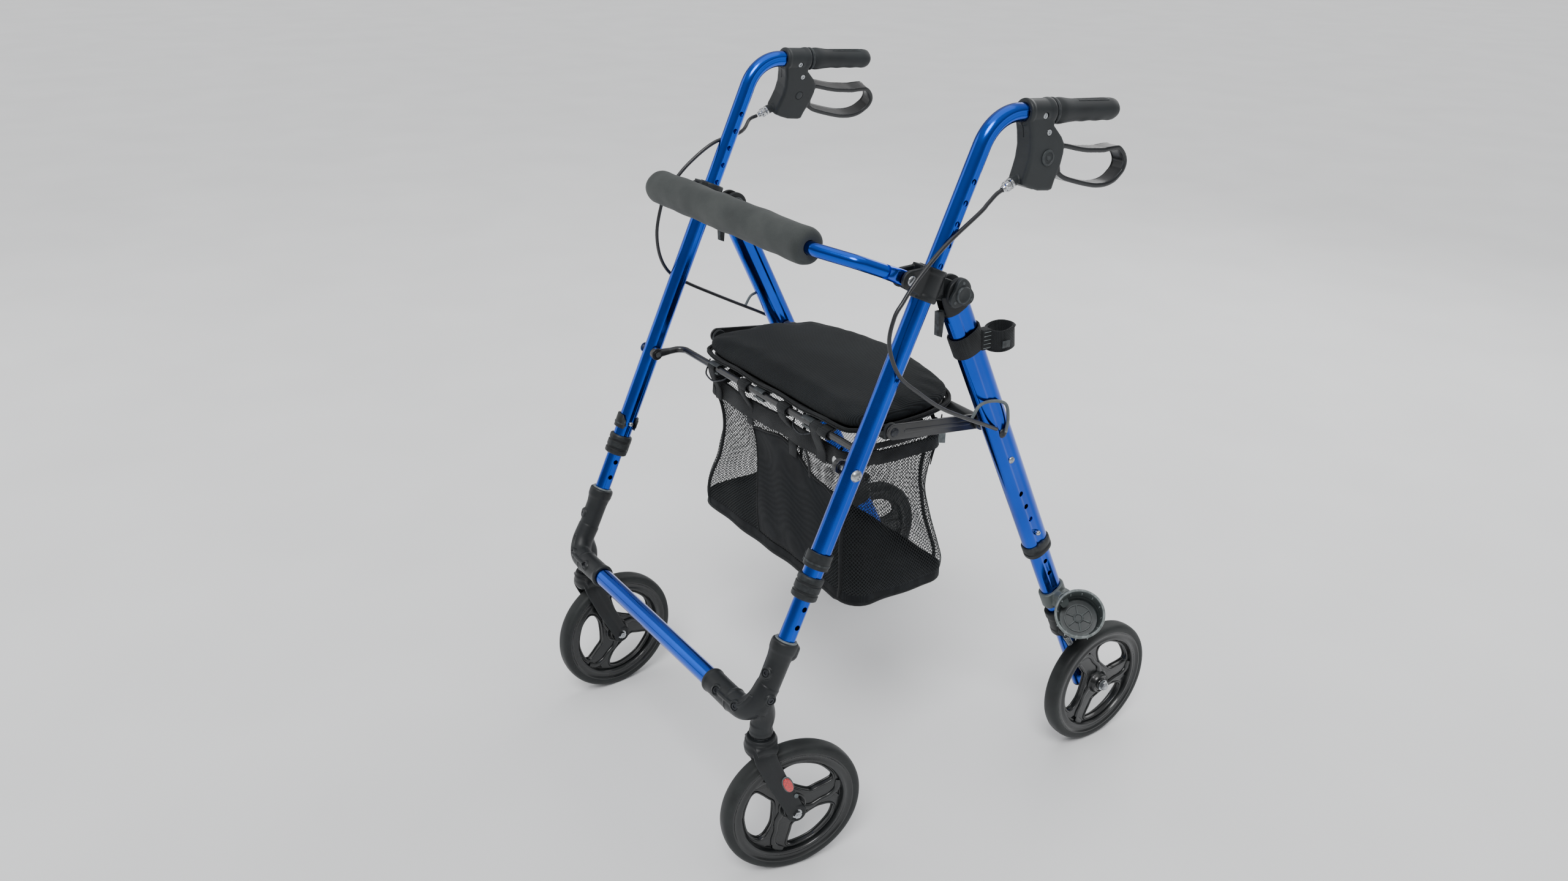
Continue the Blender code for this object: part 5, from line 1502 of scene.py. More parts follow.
def brake_lever(side, tag):
    leg_x, place = side * LEG_X, clamp_place(side)
    # cam drum between housing and lever
    Geo().lathe([(0, 0.0157), (0.003, 0.0156), (0.0034, 0.015), (0.0062, 0.015),
                 (0.0066, 0.0157), (0.0086, 0.0155), (0.0093, 0.015), (0.0096, 0.0144),
                 (0.0095, 0.0137), (0.0058, 0.0137), (0.0058, -0.0133),
                 (0.005, -0.0138), (0, -0.0138)],
                pose((leg_x, *LEVER), X * side, Y), 56).make(
        f"lever_pivot_drum_{tag}", GREY, f"lever_cam_{tag}", "black_plastic",
        f"lever_cam_{tag}", place=place)

    # a wide strap bent into a loop, arms merging at the pivot, with thickened rims
    path = smooth_path([(leg_x, y, z) for y, z in LEVER_LINE], 6)
    geo = Geo().sweep(path, rounded_rect(0.0108, 0.0023, 0.0018, 5))
    for k in (1, -1):
        geo.sweep([point + Vector((k * 0.0096, 0, 0)) for point in path],
                  oval(0.0015, 0.0031, 14))
    head = arc(LEVER, 0.0128, 72, 268, 24) + yz_points(
        (0.433, 0.864), (0.444, 0.864), (0.441, 0.878), (0.4425, 0.89), (0.448, 0.8995),
        (0.43, 0.901))
    geo.yz_plate([head], leg_x - 0.0107, leg_x + 0.0107, 0.0016, 3)
    hole = Geo().pin(LEVER, leg_x - 0.02, leg_x + 0.02, 0.0061)
    hollow = Geo().block(spot(leg_x - 0.0074, 0.433, 0.87),
                         spot(leg_x + 0.0074, 0.46, 0.8935), 0.002)
    lever = geo.make(f"lever_loop_{tag}", LEVER_PLASTIC, cast=(0.00075, 2),
                     cuts=[hole, hollow])
    lever.data.transform(place)
    register(lever, f"brake_lever_{tag}", f"brake_lever_{tag}")


for each_side in SIDES:
    for build in (brake_clamp, brake_shoe, return_spring, rear_axle, hand_grip,
                  brake_housing, cable_adjuster, brake_lever):
        build(*each_side)


# ---------------------------------------------------------------- pieces across the walker
def cross_bars():
    Geo().sweep([(-0.223 + 0.446 * i / 24, *BAR) for i in range(25)], circle(0.0125, 64),
                inner=circle(0.011, 64)).make(
        "front_cross_bar", BLUE, "front_carriage", "blue_anodised", "front_crossbar")
    geo = Geo().rod((-0.2288, *LINK), (0.2288, *LINK), 0.008, 40, 0.0008)
    for k in (1, -1):
        geo.lathe([(0.008, 0), (0.01, 0), (0.0102, 0.001), (0.01, 0.0042),
                   (0.008, 0.0046)], pose((k * 0.21, *LINK), X * k), 40, closed=True)
    geo.make("rear_cross_rod", PAINT, "rear_frame", "black_steel", "rear_cross_tube")


def seat_rod():
    """Rod with pressed eyes at both ends."""
    end_x = 0.2215
    path = round_corners([(-end_x, *SEAT), (-end_x, SEAT_ROD_Y, SEAT[1]),
                          (end_x, SEAT_ROD_Y, SEAT[1]), (end_x, *SEAT)], 0.014, 12)
    geo = Geo().sweep(path, circle(0.0048, 24))
    for k in (1, -1):
        geo.yz_plate([circle(0.0088, 40, SEAT), circle(0.0042, 32, SEAT)[::-1]],
                     k * 0.2176, k * 0.2254, 0.001, 3)
        geo.sweep([(k * end_x, SEAT[0] + 0.004 + 0.003 * i, SEAT[1]) for i in range(7)],
                  circle(0.0052, 24), scale=lambda t: (0.95, 1.25 - 0.3 * t))
    geo.make("seat_rod", PAINT, "seat", "black_steel", "seat_pivot_rod")


def seat_link(side, tag):
    geo = Geo().yz_plate([capsule(STUD, LINK, 0.0105, 22), circle(0.0084, 40, LINK)[::-1]],
                         side * 0.205, side * 0.2085, 0.0009, 3)
    geo.yz_plate([capsule((STUD[0] + 0.018, STUD[1] - 0.0023),
                          (LINK[0] - 0.018, LINK[1] + 0.0023), 0.003, 12)],
                 side * 0.2044, side * 0.2092, 0.001)
    geo.material_index = 1
    geo.dome_head((side * 0.2083, *STUD), X * side, 0.0062, 0.003)
    geo.make(f"seat_link_bar_{tag}", [PAINT, DARK_STEEL], "seat_links", "black_steel",
             f"seat_link_{tag}")


def backrest_tube():
    half = [spot(LEG_X, 0.2, 0.7808), spot(0.227, 0.164, 0.7955), (0.186, *PAD)]
    path = round_corners([(-x, y, z) for x, y, z in half] + half[::-1], 0.026, 14)
    geo, cut = Geo().sweep(path, circle(0.0082, 40)), Geo()
    for side in (1, -1):
        leg_x = side * LEG_X
        # tube end pressed flat round the hinge pin
        path = smooth_path([spot(leg_x, 0.193, 0.7838), spot(leg_x, 0.204, 0.779),
                            spot(leg_x, 0.212, 0.7755), (leg_x, *BACK)], 6)
        geo.sweep(path, oval(0.0084, 0.0084, 36, 2.6),
                  scale=lambda t: (1.0 - 0.40 * min(1, t * 1.8),
                                   1.0 + 0.08 * min(1, t * 1.8)))
        geo.yz_plate([circle(0.0092, 44, BACK), circle(0.004, 32, BACK)[::-1]],
                     leg_x - 0.005, leg_x + 0.005, 0.0018, 4)
        cut.pin(BACK, leg_x - 0.02, leg_x + 0.02, 0.004)
    geo.make("backrest_tube", BLUE, "backrest", "blue_anodised", "backrest_bar",
             cuts=[cut])


def foam_dents(x, y, z):
    """Faint dents on the outside of the sleeve."""
    radius = math.hypot(x, y)
    if radius < 0.01:
        return (x, y, z)
    angle = math.atan2(y, x)
    dent = (0.00035 * math.sin(z * 71 + 2 * angle)
            + 0.00025 * math.sin(z * 133 - 3 * angle + 1.2)
            + 0.00022 * math.sin(5 * angle + z * 40))
    factor = 1 + dent / radius
    return (x * factor, y * factor, z)


def foam_sleeve():
    half = 0.174
    # (radius, distance in from the end)
    end = [(0.0086, 0.001), (0.015, 0.0002), (0.0186, 0.0014), (0.0208, 0.0042),
           (0.0218, 0.0085)]
    profile = [(radius, -half + inset) for radius, inset in end]
    profile += [(0.022, (-1 + 2 * i / 60) * (half - 0.013)) for i in range(61)]
    profile += [(radius, half - inset) for radius, inset in reversed(end)]
    Geo().lathe(profile, pose((0, *PAD), X), 96, closed=True, warp=foam_dents).make(
        "foam_sleeve", FOAM, "backrest", "foam", "backrest_pad")


cross_bars()
seat_rod()
for each_side in SIDES:
    seat_link(*each_side)
backrest_tube()
foam_sleeve()


# ---------------------------------------------------------------- seat
def cushion_outline():
    """Cushion seen from above, counter-clockwise, symmetric about x = 0."""
    # (x, y) up the +x side between the middle of the front and of the rear
    half = [(0.075, 0.1985), (0.15, 0.201), (0.174, 0.214), (0.183, 0.244),
            (0.185, 0.284), (0.181, 0.328), (0.17, 0.364), (0.15, 0.388),
            (0.112, 0.403), (0.056, 0.415)]
    ring = [(0.0, 0.198)] + half + [(0.0, 0.419)] + [(-x, y) for x, y in reversed(half)]
    return smooth_outline([(x, DATUM_Y + y) for x, y in ring[-2:] + ring[:-2]], 6)


PAD_EDGE = cushion_outline()


def shrink(outline, inset):
    """Moves a counter-clockwise outline inward."""
    result = []
    for i, (x, y) in enumerate(outline):
        before, after = Vector(outline[i - 1]), Vector(outline[(i + 1) % len(outline)])
        tangent = (after - before).normalized()
        result.append((x - tangent.y * inset, y + tangent.x * inset))
    return result


def puff_cushion(obj, rest):
    """Inflates the cushion as cloth pinned by its underside."""
    pins = obj.vertex_groups.new(name="pins")
    for i in np.flatnonzero(rest[:, 2] < 0.56):
        pins.add([int(i)], 1.0, "REPLACE")
    cloth = obj.modifiers.new("cloth", "CLOTH")
    settings = cloth.settings
    settings.quality = 6
    settings.mass = 0.25
    settings.tension_stiffness = settings.compression_stiffness = 22
    settings.shear_stiffness = 10
    settings.bending_stiffness = 1.2
    settings.use_pressure = True
    settings.uniform_pressure_force = 4.0
    settings.vertex_group_mass = "pins"
    settings.effector_weights.gravity = 0.0
    cloth.collision_settings.use_collision = False
    scene = bpy.context.scene
    scene.frame_start, scene.frame_end = 1, 20
    for frame in range(1, 21):
        scene.frame_set(frame)
    apply_modifiers(obj)
    scene.frame_set(1)


def vertex_array(obj):
    return np.array([vert.co[:] for vert in obj.data.vertices])


def seat_cushion():
    obj = Geo().plate([shrink(PAD_EDGE, 0.004)], 0.5585, 0.5775, None, 0.007,
                      rounds=3).make("seat_cushion", RIBBED)
    voxel_remesh(obj, 0.0045)
    apply_modifiers(obj)
    rest = vertex_array(obj)
    puff_cushion(obj, rest)
    move = vertex_array(obj) - rest
    size = np.linalg.norm(move, axis=1)
    cap = 0.0042  # furthest a vertex may puff out
    limit = np.where(size > cap, cap / np.maximum(size, 1e-9), 1.0)
    now = rest + move * limit[:, None]
    # crown, thicker front roll, shallow wrinkles near the front edge and the sides
    x, y, z = now[:, 0], now[:, 1] - DATUM_Y, now[:, 2]
    top = np.clip((z - 0.564) / 0.012, 0, 1)
    spread = np.sqrt((x / 0.185) ** 2 + ((y - 0.305) / 0.112) ** 2)
    crown = 0.004 * np.clip(1 - spread ** 2, 0, 1)
    roll = 0.0022 * np.exp(-((y - 0.222) / 0.020) ** 2)
    front_pull = np.sin((x * 46 + 1.3) * 2.0) * np.exp(-((y - 0.215) / 0.030) ** 2)
    side_pull = np.sin(x * 31 + y * 60) * np.exp(-((np.abs(x) - 0.16) / 0.03) ** 2)
    pull = 0.0005 * front_pull + 0.0005 * side_pull
    now[:, 2] = np.maximum(z + top * (crown + roll + pull), 0.5563)
    obj.data.vertices.foreach_set("co", now.ravel())
    obj.data.update()
    soften(obj, 9)
    fine = obj.modifiers.new("fine", "SUBSURF")
    fine.levels = fine.render_levels = 2
    apply_modifiers(obj)
    obj.data.shade_smooth()
    register(obj, "seat", "seat_pad")


def seat_piping():
    """Cord round the lower edge of the cushion, and the flat welt under it."""
    cord = []
    for x, y in shrink(PAD_EDGE, 0.0012):
        front = math.exp(-((y - DATUM_Y - 0.200) / 0.012) ** 2)
        cord.append((x, y, 0.5603 + front * 0.0014 * math.sin(x * 62)))
    Geo().sweep(cord, circle(0.002, 12), closed=True).make(
        "seat_piping", PIPING, "seat", "seat_fabric")
    welt = [(x * 0.992, DATUM_Y + 0.305 + (y - DATUM_Y - 0.305) * 0.985, z - 0.003)
            for x, y, z in cord]
    Geo().sweep(welt, rounded_rect(0.004, 0.0008, 0.0006, 2), closed=True).make(
        "seat_welt", WEB, "seat", "seat_fabric")


def seat_board():
    slots = [[(cx + x, DATUM_Y + cy + y) for x, y in rounded_rect(0.032, 0.012, 0.008)][::-1]
             for cx in (-0.1, 0.0, 0.1) for cy in (0.262, 0.345)]
    geo = Geo().plate([shrink(PAD_EDGE, 0.0105)] + slots, 0.552, 0.5562, None, 0.0012,
                      rounds=3)
    # ears carrying the link studs
    y, z = STUD
    ear = [(y - 0.01, 0.5525), (y + 0.01, 0.5525)] + arc(STUD, 0.01, 0, 180, 16)
    for k in (1, -1):
        geo.block((k * 0.15, y - 0.01, 0.552), (k * 0.203, y + 0.01, 0.5556))
        geo.yz_plate([ear], k * 0.1976, k * 0.203, 0.0012)
        geo.material_index = 1
        geo.dome_head((k * 0.2026, *STUD), X * k, 0.0052, 0.0016)
        geo.material_index = 0
    # stiffening ribs underneath
    for y in (0.232, 0.303, 0.38):
        y += DATUM_Y
        geo.block((-0.14, y - 0.0014, 0.545), (0.14, y + 0.0014, 0.5526), 0.0006)
    for x in (-0.14, -0.05, 0.05, 0.14):
        geo.block(spot(x - 0.0014, 0.225, 0.546), spot(x + 0.0014, 0.385, 0.5526), 0.0006)
    geo.make("seat_base_board", [BLACK, STEEL], "seat", "black_plastic", "seat_board")


def rod_fastenings():
    """Snap loops holding the board on the seat rod, and cloth tabs between them."""
    y, z = SEAT_ROD_Y, SEAT[1]
    hook = arc((y, z), 0.0082, -130, 140, 20) + arc((y, z), 0.0054, 140, -130, 20)
    web = [(y + 0.002, z + 0.007), (y + 0.018, z + 0.007), (y + 0.018, z - 0.003),
           (y + 0.007, z - 0.003)]
    geo = Geo()
    for x in (-0.128, -0.014, 0.099):
        geo.yz_plate([hook], x - 0.011, x + 0.011, 0.001, 3)
        geo.block((x - 0.01, y + 0.005, 0.548), (x + 0.01, y + 0.023, 0.5524), 0.0012)
        geo.yz_plate([web], x - 0.0018, x + 0.0018)
    geo.make("board_snap_loops", GREY, "seat", "grey_plastic")
    geo = Geo()
    for x in (-0.049, 0.045, 0.135):
        path = smooth_path([(x, y + 0.017, 0.5515), (x, y + 0.004, 0.5532),
                            (x, y - 0.0062, 0.55), (x, y - 0.0072, 0.544),
                            (x, y - 0.001, 0.5396), (x, y + 0.008, 0.542)], 6)
        geo.sweep(path, rounded_rect(0.009, 0.0009, 0.0007, 2))
    geo.make("rod_cloth_tabs", WEB, "seat", "webbing")


seat_cushion()
seat_piping()
seat_board()
rod_fastenings()


# ---------------------------------------------------------------- basket
def smooth_table(rows):
    """Cubic interpolation through (position, value) rows, held at the ends."""
    at, values = np.array(rows).T
    slopes = np.gradient(values, at)

    def value(position):
        position = np.clip(np.asarray(position, dtype=float), at[0], at[-1])
        i = np.clip(np.searchsorted(at, position) - 1, 0, len(at) - 2)
        gap = at[i + 1] - at[i]
        t = (position - at[i]) / gap
        return ((2 * t ** 3 - 3 * t ** 2 + 1) * values[i]
                + (t ** 3 - 2 * t ** 2 + t) * gap * slopes[i]
                + (-2 * t ** 3 + 3 * t ** 2) * values[i + 1]
                + (t ** 3 - t ** 2) * gap * slopes[i + 1])
    return value


# by height z: half width in x, then y of the front and rear walls from the datum
BAG_HALF = smooth_table([
    (0.305, 0.186), (0.318, 0.1905), (0.335, 0.193), (0.36, 0.188), (0.398, 0.1745),
    (0.433, 0.1675), (0.47, 0.168), (0.5, 0.1715), (0.52, 0.176), (0.545, 0.178)])
BAG_FRONT = smooth_table([
    (0.305, 0.209), (0.318, 0.2065), (0.335, 0.206), (0.36, 0.208), (0.4, 0.2155),
    (0.44, 0.221), (0.48, 0.2175), (0.51, 0.208), (0.545, 0.2)])
BAG_REAR = smooth_table([
    (0.305, 0.364), (0.318, 0.3675), (0.335, 0.37), (0.36, 0.3665), (0.4, 0.359),
    (0.44, 0.3555), (0.48, 0.3575), (0.51, 0.362), (0.545, 0.366)])
PLAN_HALF, PLAN_FRONT, PLAN_REAR, PLAN_CORNER = 0.185, 0.206, 0.368, 0.03


def plan_outline():
    """Reference basket outline seen from above, with its running length."""
    x = PLAN_HALF - PLAN_CORNER
    front, rear = PLAN_FRONT + PLAN_CORNER, PLAN_REAR - PLAN_CORNER
    points = []
    for centre, start in (((x, front), -90), ((x, rear), 0), ((-x, rear), 90),
                          ((-x, front), 180)):
        points += arc(centre, PLAN_CORNER, start, start + 90, 12)
    plan = np.array(points + [points[0]])
    steps = np.linalg.norm(np.diff(plan, axis=0), axis=1)
    return plan, np.concatenate([[0], np.cumsum(steps)])


PLAN, RUN = plan_outline()
GIRTH = RUN[-1]


def plan_at(run):
    """x and y of the reference outline at a running length."""
    run = np.mod(run, GIRTH)
    return np.interp(run, RUN, PLAN[:, 0]), np.interp(run, RUN, PLAN[:, 1])


def bag(run, z, out=0.0):
    """Points of the bag wall at a running length and height, moved outward by out."""
    run = np.mod(run, GIRTH)
    x, y = plan_at(run)
    next_x, next_y = plan_at(run + 0.002)
    normal_x, normal_y = (next_y - y), -(next_x - x)
    length = np.maximum(np.hypot(normal_x, normal_y), 1e-9)
    ripple = (0.0016 * np.sin(run * 41 + 3 * np.sin(z * 23)) * np.sin((z - 0.31) * 19)
              + 0.001 * np.sin(run * 83 + z * 37))
    depth = (y - PLAN_FRONT) / 0.162
    wall_y = BAG_FRONT(z) * (1 - depth) + BAG_REAR(z) * depth
    shift = out + ripple
    return np.stack([x / PLAN_HALF * BAG_HALF(z) + normal_x / length * shift,
                     DATUM_Y + wall_y + normal_y / length * shift, z + 0 * run], axis=-1)


def bag_path(run, z, out=0.0):
    return [Vector(point) for point in bag(run, z, out)]


def bag_point(x, y, z, out):
    """One wall point above the plan corner nearest to (x, y)."""
    return bag(np.array([run_at(x, y)]), np.array([z]), out)[0]


def run_at(x, y):
    return RUN[int(np.argmin(np.hypot(PLAN[:, 0] - x, PLAN[:, 1] - y)))]


def bag_front_y(z, out):
    return DATUM_Y + float(BAG_FRONT(z)) - out


def net_top(run):
    """Where the net ends: under the band in front, up to the rods elsewhere."""
    x, y = plan_at(run)
    return np.where(y < 0.212, 0.506, np.where(np.abs(x) > 0.15, 0.532, 0.54))


def basket_net():
    """Two crossing families of flat strands laid on the bag wall."""
    pitch, half_width, half_thick = 0.005, 0.0004, 0.00016
    low, high, stations = 0.3105, 0.541, 60
    strands = int(round(GIRTH / pitch))
    t = np.linspace(0, 1, stations)
    strand = np.arange(strands)[:, None]
    verts, faces, count = [], [], 0
    for lean in (1, -1):
        run = strand * GIRTH / strands + lean * t[None, :] * (high - low)
        z = np.broadcast_to(low + t[None, :] * (high - low), run.shape)
        wobble = 0.00025 * np.sin(t[None, :] * 190 + strand * 2.1)
        centre = bag(run + wobble, z, 0.00014 * lean)
        normal = bag(run + wobble, z, 0.00014 * lean + 0.001) - centre
        normal /= np.linalg.norm(normal, axis=-1, keepdims=True)
        tangent = np.gradient(centre, axis=1)
        tangent /= np.linalg.norm(tangent, axis=-1, keepdims=True)
        across = np.cross(tangent, normal)
        ring = [centre + across * (i * half_width) + normal * (j * half_thick)
                for i, j in ((1, 1), (-1, 1), (-1, -1), (1, -1))]
        keep = z[:, 1:] <= net_top(run[:, 1:])
        total = strands * stations * 4
        index = np.arange(total).reshape(strands, stations, 4) + count
        for i in range(4):
            j = (i + 1) % 4
            quads = np.stack([index[:, :-1, i], index[:, :-1, j], index[:, 1:, j],
                              index[:, 1:, i]], axis=-1)
            faces.append(quads[keep])
        verts.append(np.stack(ring, axis=2).reshape(-1, 3))
        count += total
    verts, faces = np.concatenate(verts), np.concatenate(faces)
    used, faces = np.unique(faces, return_inverse=True)
    verts, faces = verts[used], faces.ravel()
    mesh = bpy.data.meshes.new("basket_net")
    mesh.vertices.add(len(verts))
    mesh.vertices.foreach_set("co", verts.ravel().astype(np.float32))
    mesh.loops.add(len(faces))
    mesh.loops.foreach_set("vertex_index", faces.astype(np.int32))
    mesh.polygons.add(len(faces) // 4)
    mesh.polygons.foreach_set("loop_start", np.arange(0, len(faces), 4, dtype=np.int32))
    mesh.update(calc_edges=True)
    mesh.materials.append(NET)
    mesh.shade_smooth()
    obj = bpy.data.objects.new("basket_net", mesh)
    COLLECTION.objects.link(obj)
    register(obj, "frame", "basket")


LAPS = 160  # stations round the bag
LAP_RUN = np.arange(LAPS) * GIRTH / LAPS
LAP_X, LAP_Y = plan_at(LAP_RUN)


def basket_band():
    """Band with raised edges, wider across the front."""
    z = (0.5115 + 0.0035 * LAP_X / 0.185 * np.where(LAP_Y < 0.25, 1, 0.2)
         + 0.0012 * np.sin(LAP_RUN * 37))
    wide = np.where(LAP_Y < 0.215, 1.40, 1.0)
    wide = np.convolve(np.concatenate([wide[-4:], wide, wide[:4]]), np.ones(9) / 9, "valid")
    geo = Geo().sweep(bag_path(LAP_RUN, z, 0.001), rounded_rect(0.0009, 0.0098, 0.0007, 2),
                      closed=True, scale=[(1.0, float(size)) for size in wide])
    for k in (1, -1):
        edge = [point + Vector((0, 0, k * 0.0084 * float(size)))
                for point, size in zip(bag_path(LAP_RUN, z, 0.0018), wide)]
        geo.sweep(edge, oval(0.0006, 0.0007, 8), closed=True)
    geo.make("basket_band", WEB, "frame", "webbing")


def basket_tapes():
    # top tape of the sides and rear
    behind = [i for i in range(LAPS) if LAP_Y[i] > 0.225]
    first = min(behind, key=lambda i: (LAP_X[i] < 0, LAP_Y[i]))
    behind.sort(key=lambda i: (LAP_RUN[i] - LAP_RUN[first]) % GIRTH)
    run = LAP_RUN[behind]
    Geo().sweep(bag_path(run, net_top(run) - 0.001, 0.0004),
                rounded_rect(0.0008, 0.0042, 0.0006, 2)).make(
        "basket_top_tape", PIPING, "frame", "webbing")
    # piping round the floor, and seams standing at the corners
    geo = Geo().sweep(bag_path(LAP_RUN, 0.313 + 0.001 * np.sin(LAP_RUN * 29), 0.0012),
                      oval(0.003, 0.0034, 14), closed=True)
    for y, top in ((PLAN_FRONT, 0.512), (PLAN_REAR, 0.53)):
        for k in (1, -1):
            z = np.linspace(0.314, top, 30)
            lean = 0.006 * np.sin((z - 0.31) / 0.21 * math.pi) * k
            geo.sweep(bag_path(run_at(k * 0.155, y) + lean, z, 0.001),
                      oval(0.0024, 0.0026, 12), up=X)
    geo.make("basket_piping", PIPING, "frame", "webbing")
    # solid skirt round the foot of the net
    Geo().sweep(bag_path(LAP_RUN, np.full(LAPS, 0.3195), 0.0009),
                rounded_rect(0.0005, 0.0075, 0.0004, 2), closed=True).make(
        "basket_skirt", CLOTH, "frame", "basket_mesh")


def basket_floor():
    """Solid floor a little above the piping, sagging in the middle."""
    rings = 14
    wall = bag(LAP_RUN, np.full(LAPS, 0.3185), -0.0006)
    centre = np.array(spot(0, 0.287, 0.3185))
    top = []
    for j in range(rings + 1):
        t = 1 - j / rings
        ring = centre + (wall - centre) * max(t, 0.002)
        ring[:, 2] = (0.319 - 0.005 * (1 - t * t)
                      + 0.0012 * np.sin(ring[:, 0] * 33) * np.sin(ring[:, 1] * 51))
        top += [tuple(point) for point in ring]
    faces = []
    for j in range(rings):
        for i in range(LAPS):
            here, beside = j * LAPS + i, j * LAPS + (i + 1) % LAPS
            faces.append((here, beside, beside + LAPS, here + LAPS))
    faces.append(tuple(rings * LAPS + i for i in range(LAPS)))
    bottom = [(x, y, z - 0.0022) for x, y, z in top]
    under = len(top)
    below = [tuple(under + i for i in face[::-1]) for face in faces]
    rim = [(i, (i + 1) % LAPS, under + (i + 1) % LAPS, under + i) for i in range(LAPS)]
    Geo().add(top + bottom, faces + below + rim).make(
        "basket_floor_panel", CLOTH, "frame", "basket_mesh")


def basket_pocket():
    """Puffed cloth pocket on the front wall, bound along its top and ends."""
    top = smooth_table([(-0.062, 0.4755), (-0.02, 0.484), (0.02, 0.4895), (0.04, 0.484),
                        (0.06, 0.468), (0.08, 0.456), (0.105, 0.452), (0.135, 0.442)])
    columns, rows = 60, 24
    width = columns + 1
    verts, faces = [], []
    for j in range(rows + 1):
        v = j / rows
        for i in range(width):
            u = i / columns
            top_x = -0.062 + 0.19 * u
            z = 0.33 + v * (float(top(top_x)) - 0.33)
            x = top_x + (1 - v) * 0.034 * (1 - u) - (1 - v) * 0.006 * u
            puff = (0.0042 * math.sin(math.pi * u) ** 0.7 * math.sin(math.pi * v) ** 0.6
                    + 0.0008 * math.sin(x * 90 + z * 60))
            verts.append((x, bag_front_y(z, 0.002) - puff, z))
    for j in range(rows):
        for i in range(columns):
            here = j * width + i
            faces.append((here, here + 1, here + width + 1, here + width))
    obj = Geo().add(verts, faces).make("basket_pocket", CLOTH)
    solid = obj.modifiers.new("thick", "SOLIDIFY")
    solid.thickness = 0.0012
    apply_modifiers(obj)
    obj.data.shade_smooth()
    register(obj, "frame")
    geo = Geo().sweep(verts[rows * width:], circle(0.0018, 10))
    for end in (0, columns):
        geo.sweep(verts[end::width], circle(0.0014, 10), up=Y)
    geo.make("pocket_binding", PIPING, "frame", "webbing")


def basket_details():
    """Snap on the band, strap by the pocket, strips and a tag at the rear corners."""
    Geo().lathe([(0, 0.0022), (0.003, 0.0021), (0.0052, 0.0014), (0.0064, 0.0004),
                 (0.0064, -0.001), (0, -0.001)],
                pose(bag_point(0.131, PLAN_FRONT, 0.509, 0.0026), -Y), 32).make(
        "band_snap", PALE, "frame", "steel")
    Geo().sweep([(0.0735, bag_front_y(z, 0.0032), z) for z in np.linspace(0.5, 0.452, 12)],
                rounded_rect(0.0026, 0.0006, 0.0005, 2), up=Y).make(
        "pocket_strap", WEB, "frame", "webbing")
    geo = Geo()
    for k in (1, -1):
        geo.sweep(bag_path(np.full(14, run_at(k * 0.17, 0.364)),
                           np.linspace(0.474, 0.538, 14), 0.0024),
                  rounded_rect(0.0125, 0.0008, 0.0006, 2), up=Vector((k, 1, 0)))
    geo.make("corner_strips", WEB, "frame", "webbing")
    tag = (Matrix.Translation(Vector(bag_point(0.178, 0.356, 0.515, 0.004)))
           @ Matrix.Rotation(math.radians(52), 4, "Z"))
    Geo().block((-0.0058, -0.0008, -0.0075), (0.0058, 0.0008, 0.0075), 0.0008, tag).make(
        "corner_tag", MID_GREY, "frame", "webbing")


def hanging_straps():
    """Straps from the band up and over the seat rod."""
    rod_y, rod_z = SEAT_ROD_Y, SEAT[1]
    # x, half width, z of the lower end
    straps = ((-0.132, 0.008, 0.496), (-0.055, 0.0078, 0.484), (0.043, 0.0098, 0.474),
              (0.118, 0.011, 0.5))
    for i, (x, half, low) in enumerate(straps):
        front = bag_front_y(low + 0.02, 0.0034)
        over = []
        for degrees in (-20, 20, 60, 100, 140, 180, 215):
            y, z = polar(0.0064, degrees)
            over.append((x, rod_y + y, rod_z + z))
        path = smooth_path(over + [(x, rod_y - 0.003, rod_z - 0.013),
                                   (x, (rod_y + front) / 2 - 0.001, 0.522),
                                   (x, front, 0.512), (x, front + 0.0006, 0.5),
                                   (x, front + 0.0012, low)], 5)
        geo = Geo().sweep(path, rounded_rect(half, 0.0008, 0.0006, 2), up=Y)
        for k in (1, -1):
            geo.sweep([point + Vector((k * (half - 0.0012), 0, 0)) for point in path],
                      oval(0.0008, 0.0012, 8), up=Y)
        register_between(geo.make(f"hanging_strap_{i}", WEB))


def rim_hooks():
    """Bent wire hooks under the rim."""
    y = SEAT_ROD_Y
    geo = Geo()
    for left, right in ((-0.16, -0.1), (0.058, 0.113)):
        middle = (left + right) / 2
        geo.sweep(smooth_path([
            (left, y + 0.01, 0.548), (left + 0.001, y + 0.005, 0.538),
            (left + 0.008, y - 0.002, 0.53), (middle - 0.004, y - 0.004, 0.5265),
            (middle + 0.01, y - 0.0035, 0.53), (right - 0.004, y - 0.001, 0.5372),
            (right, y + 0.007, 0.546)]), circle(0.0012, 12))
    geo.make("rim_wire_hooks", DARK_STEEL, "seat", "steel")


for build in (basket_net, basket_band, basket_tapes, basket_floor, basket_pocket,
              basket_details, hanging_straps, rim_hooks):
    build()


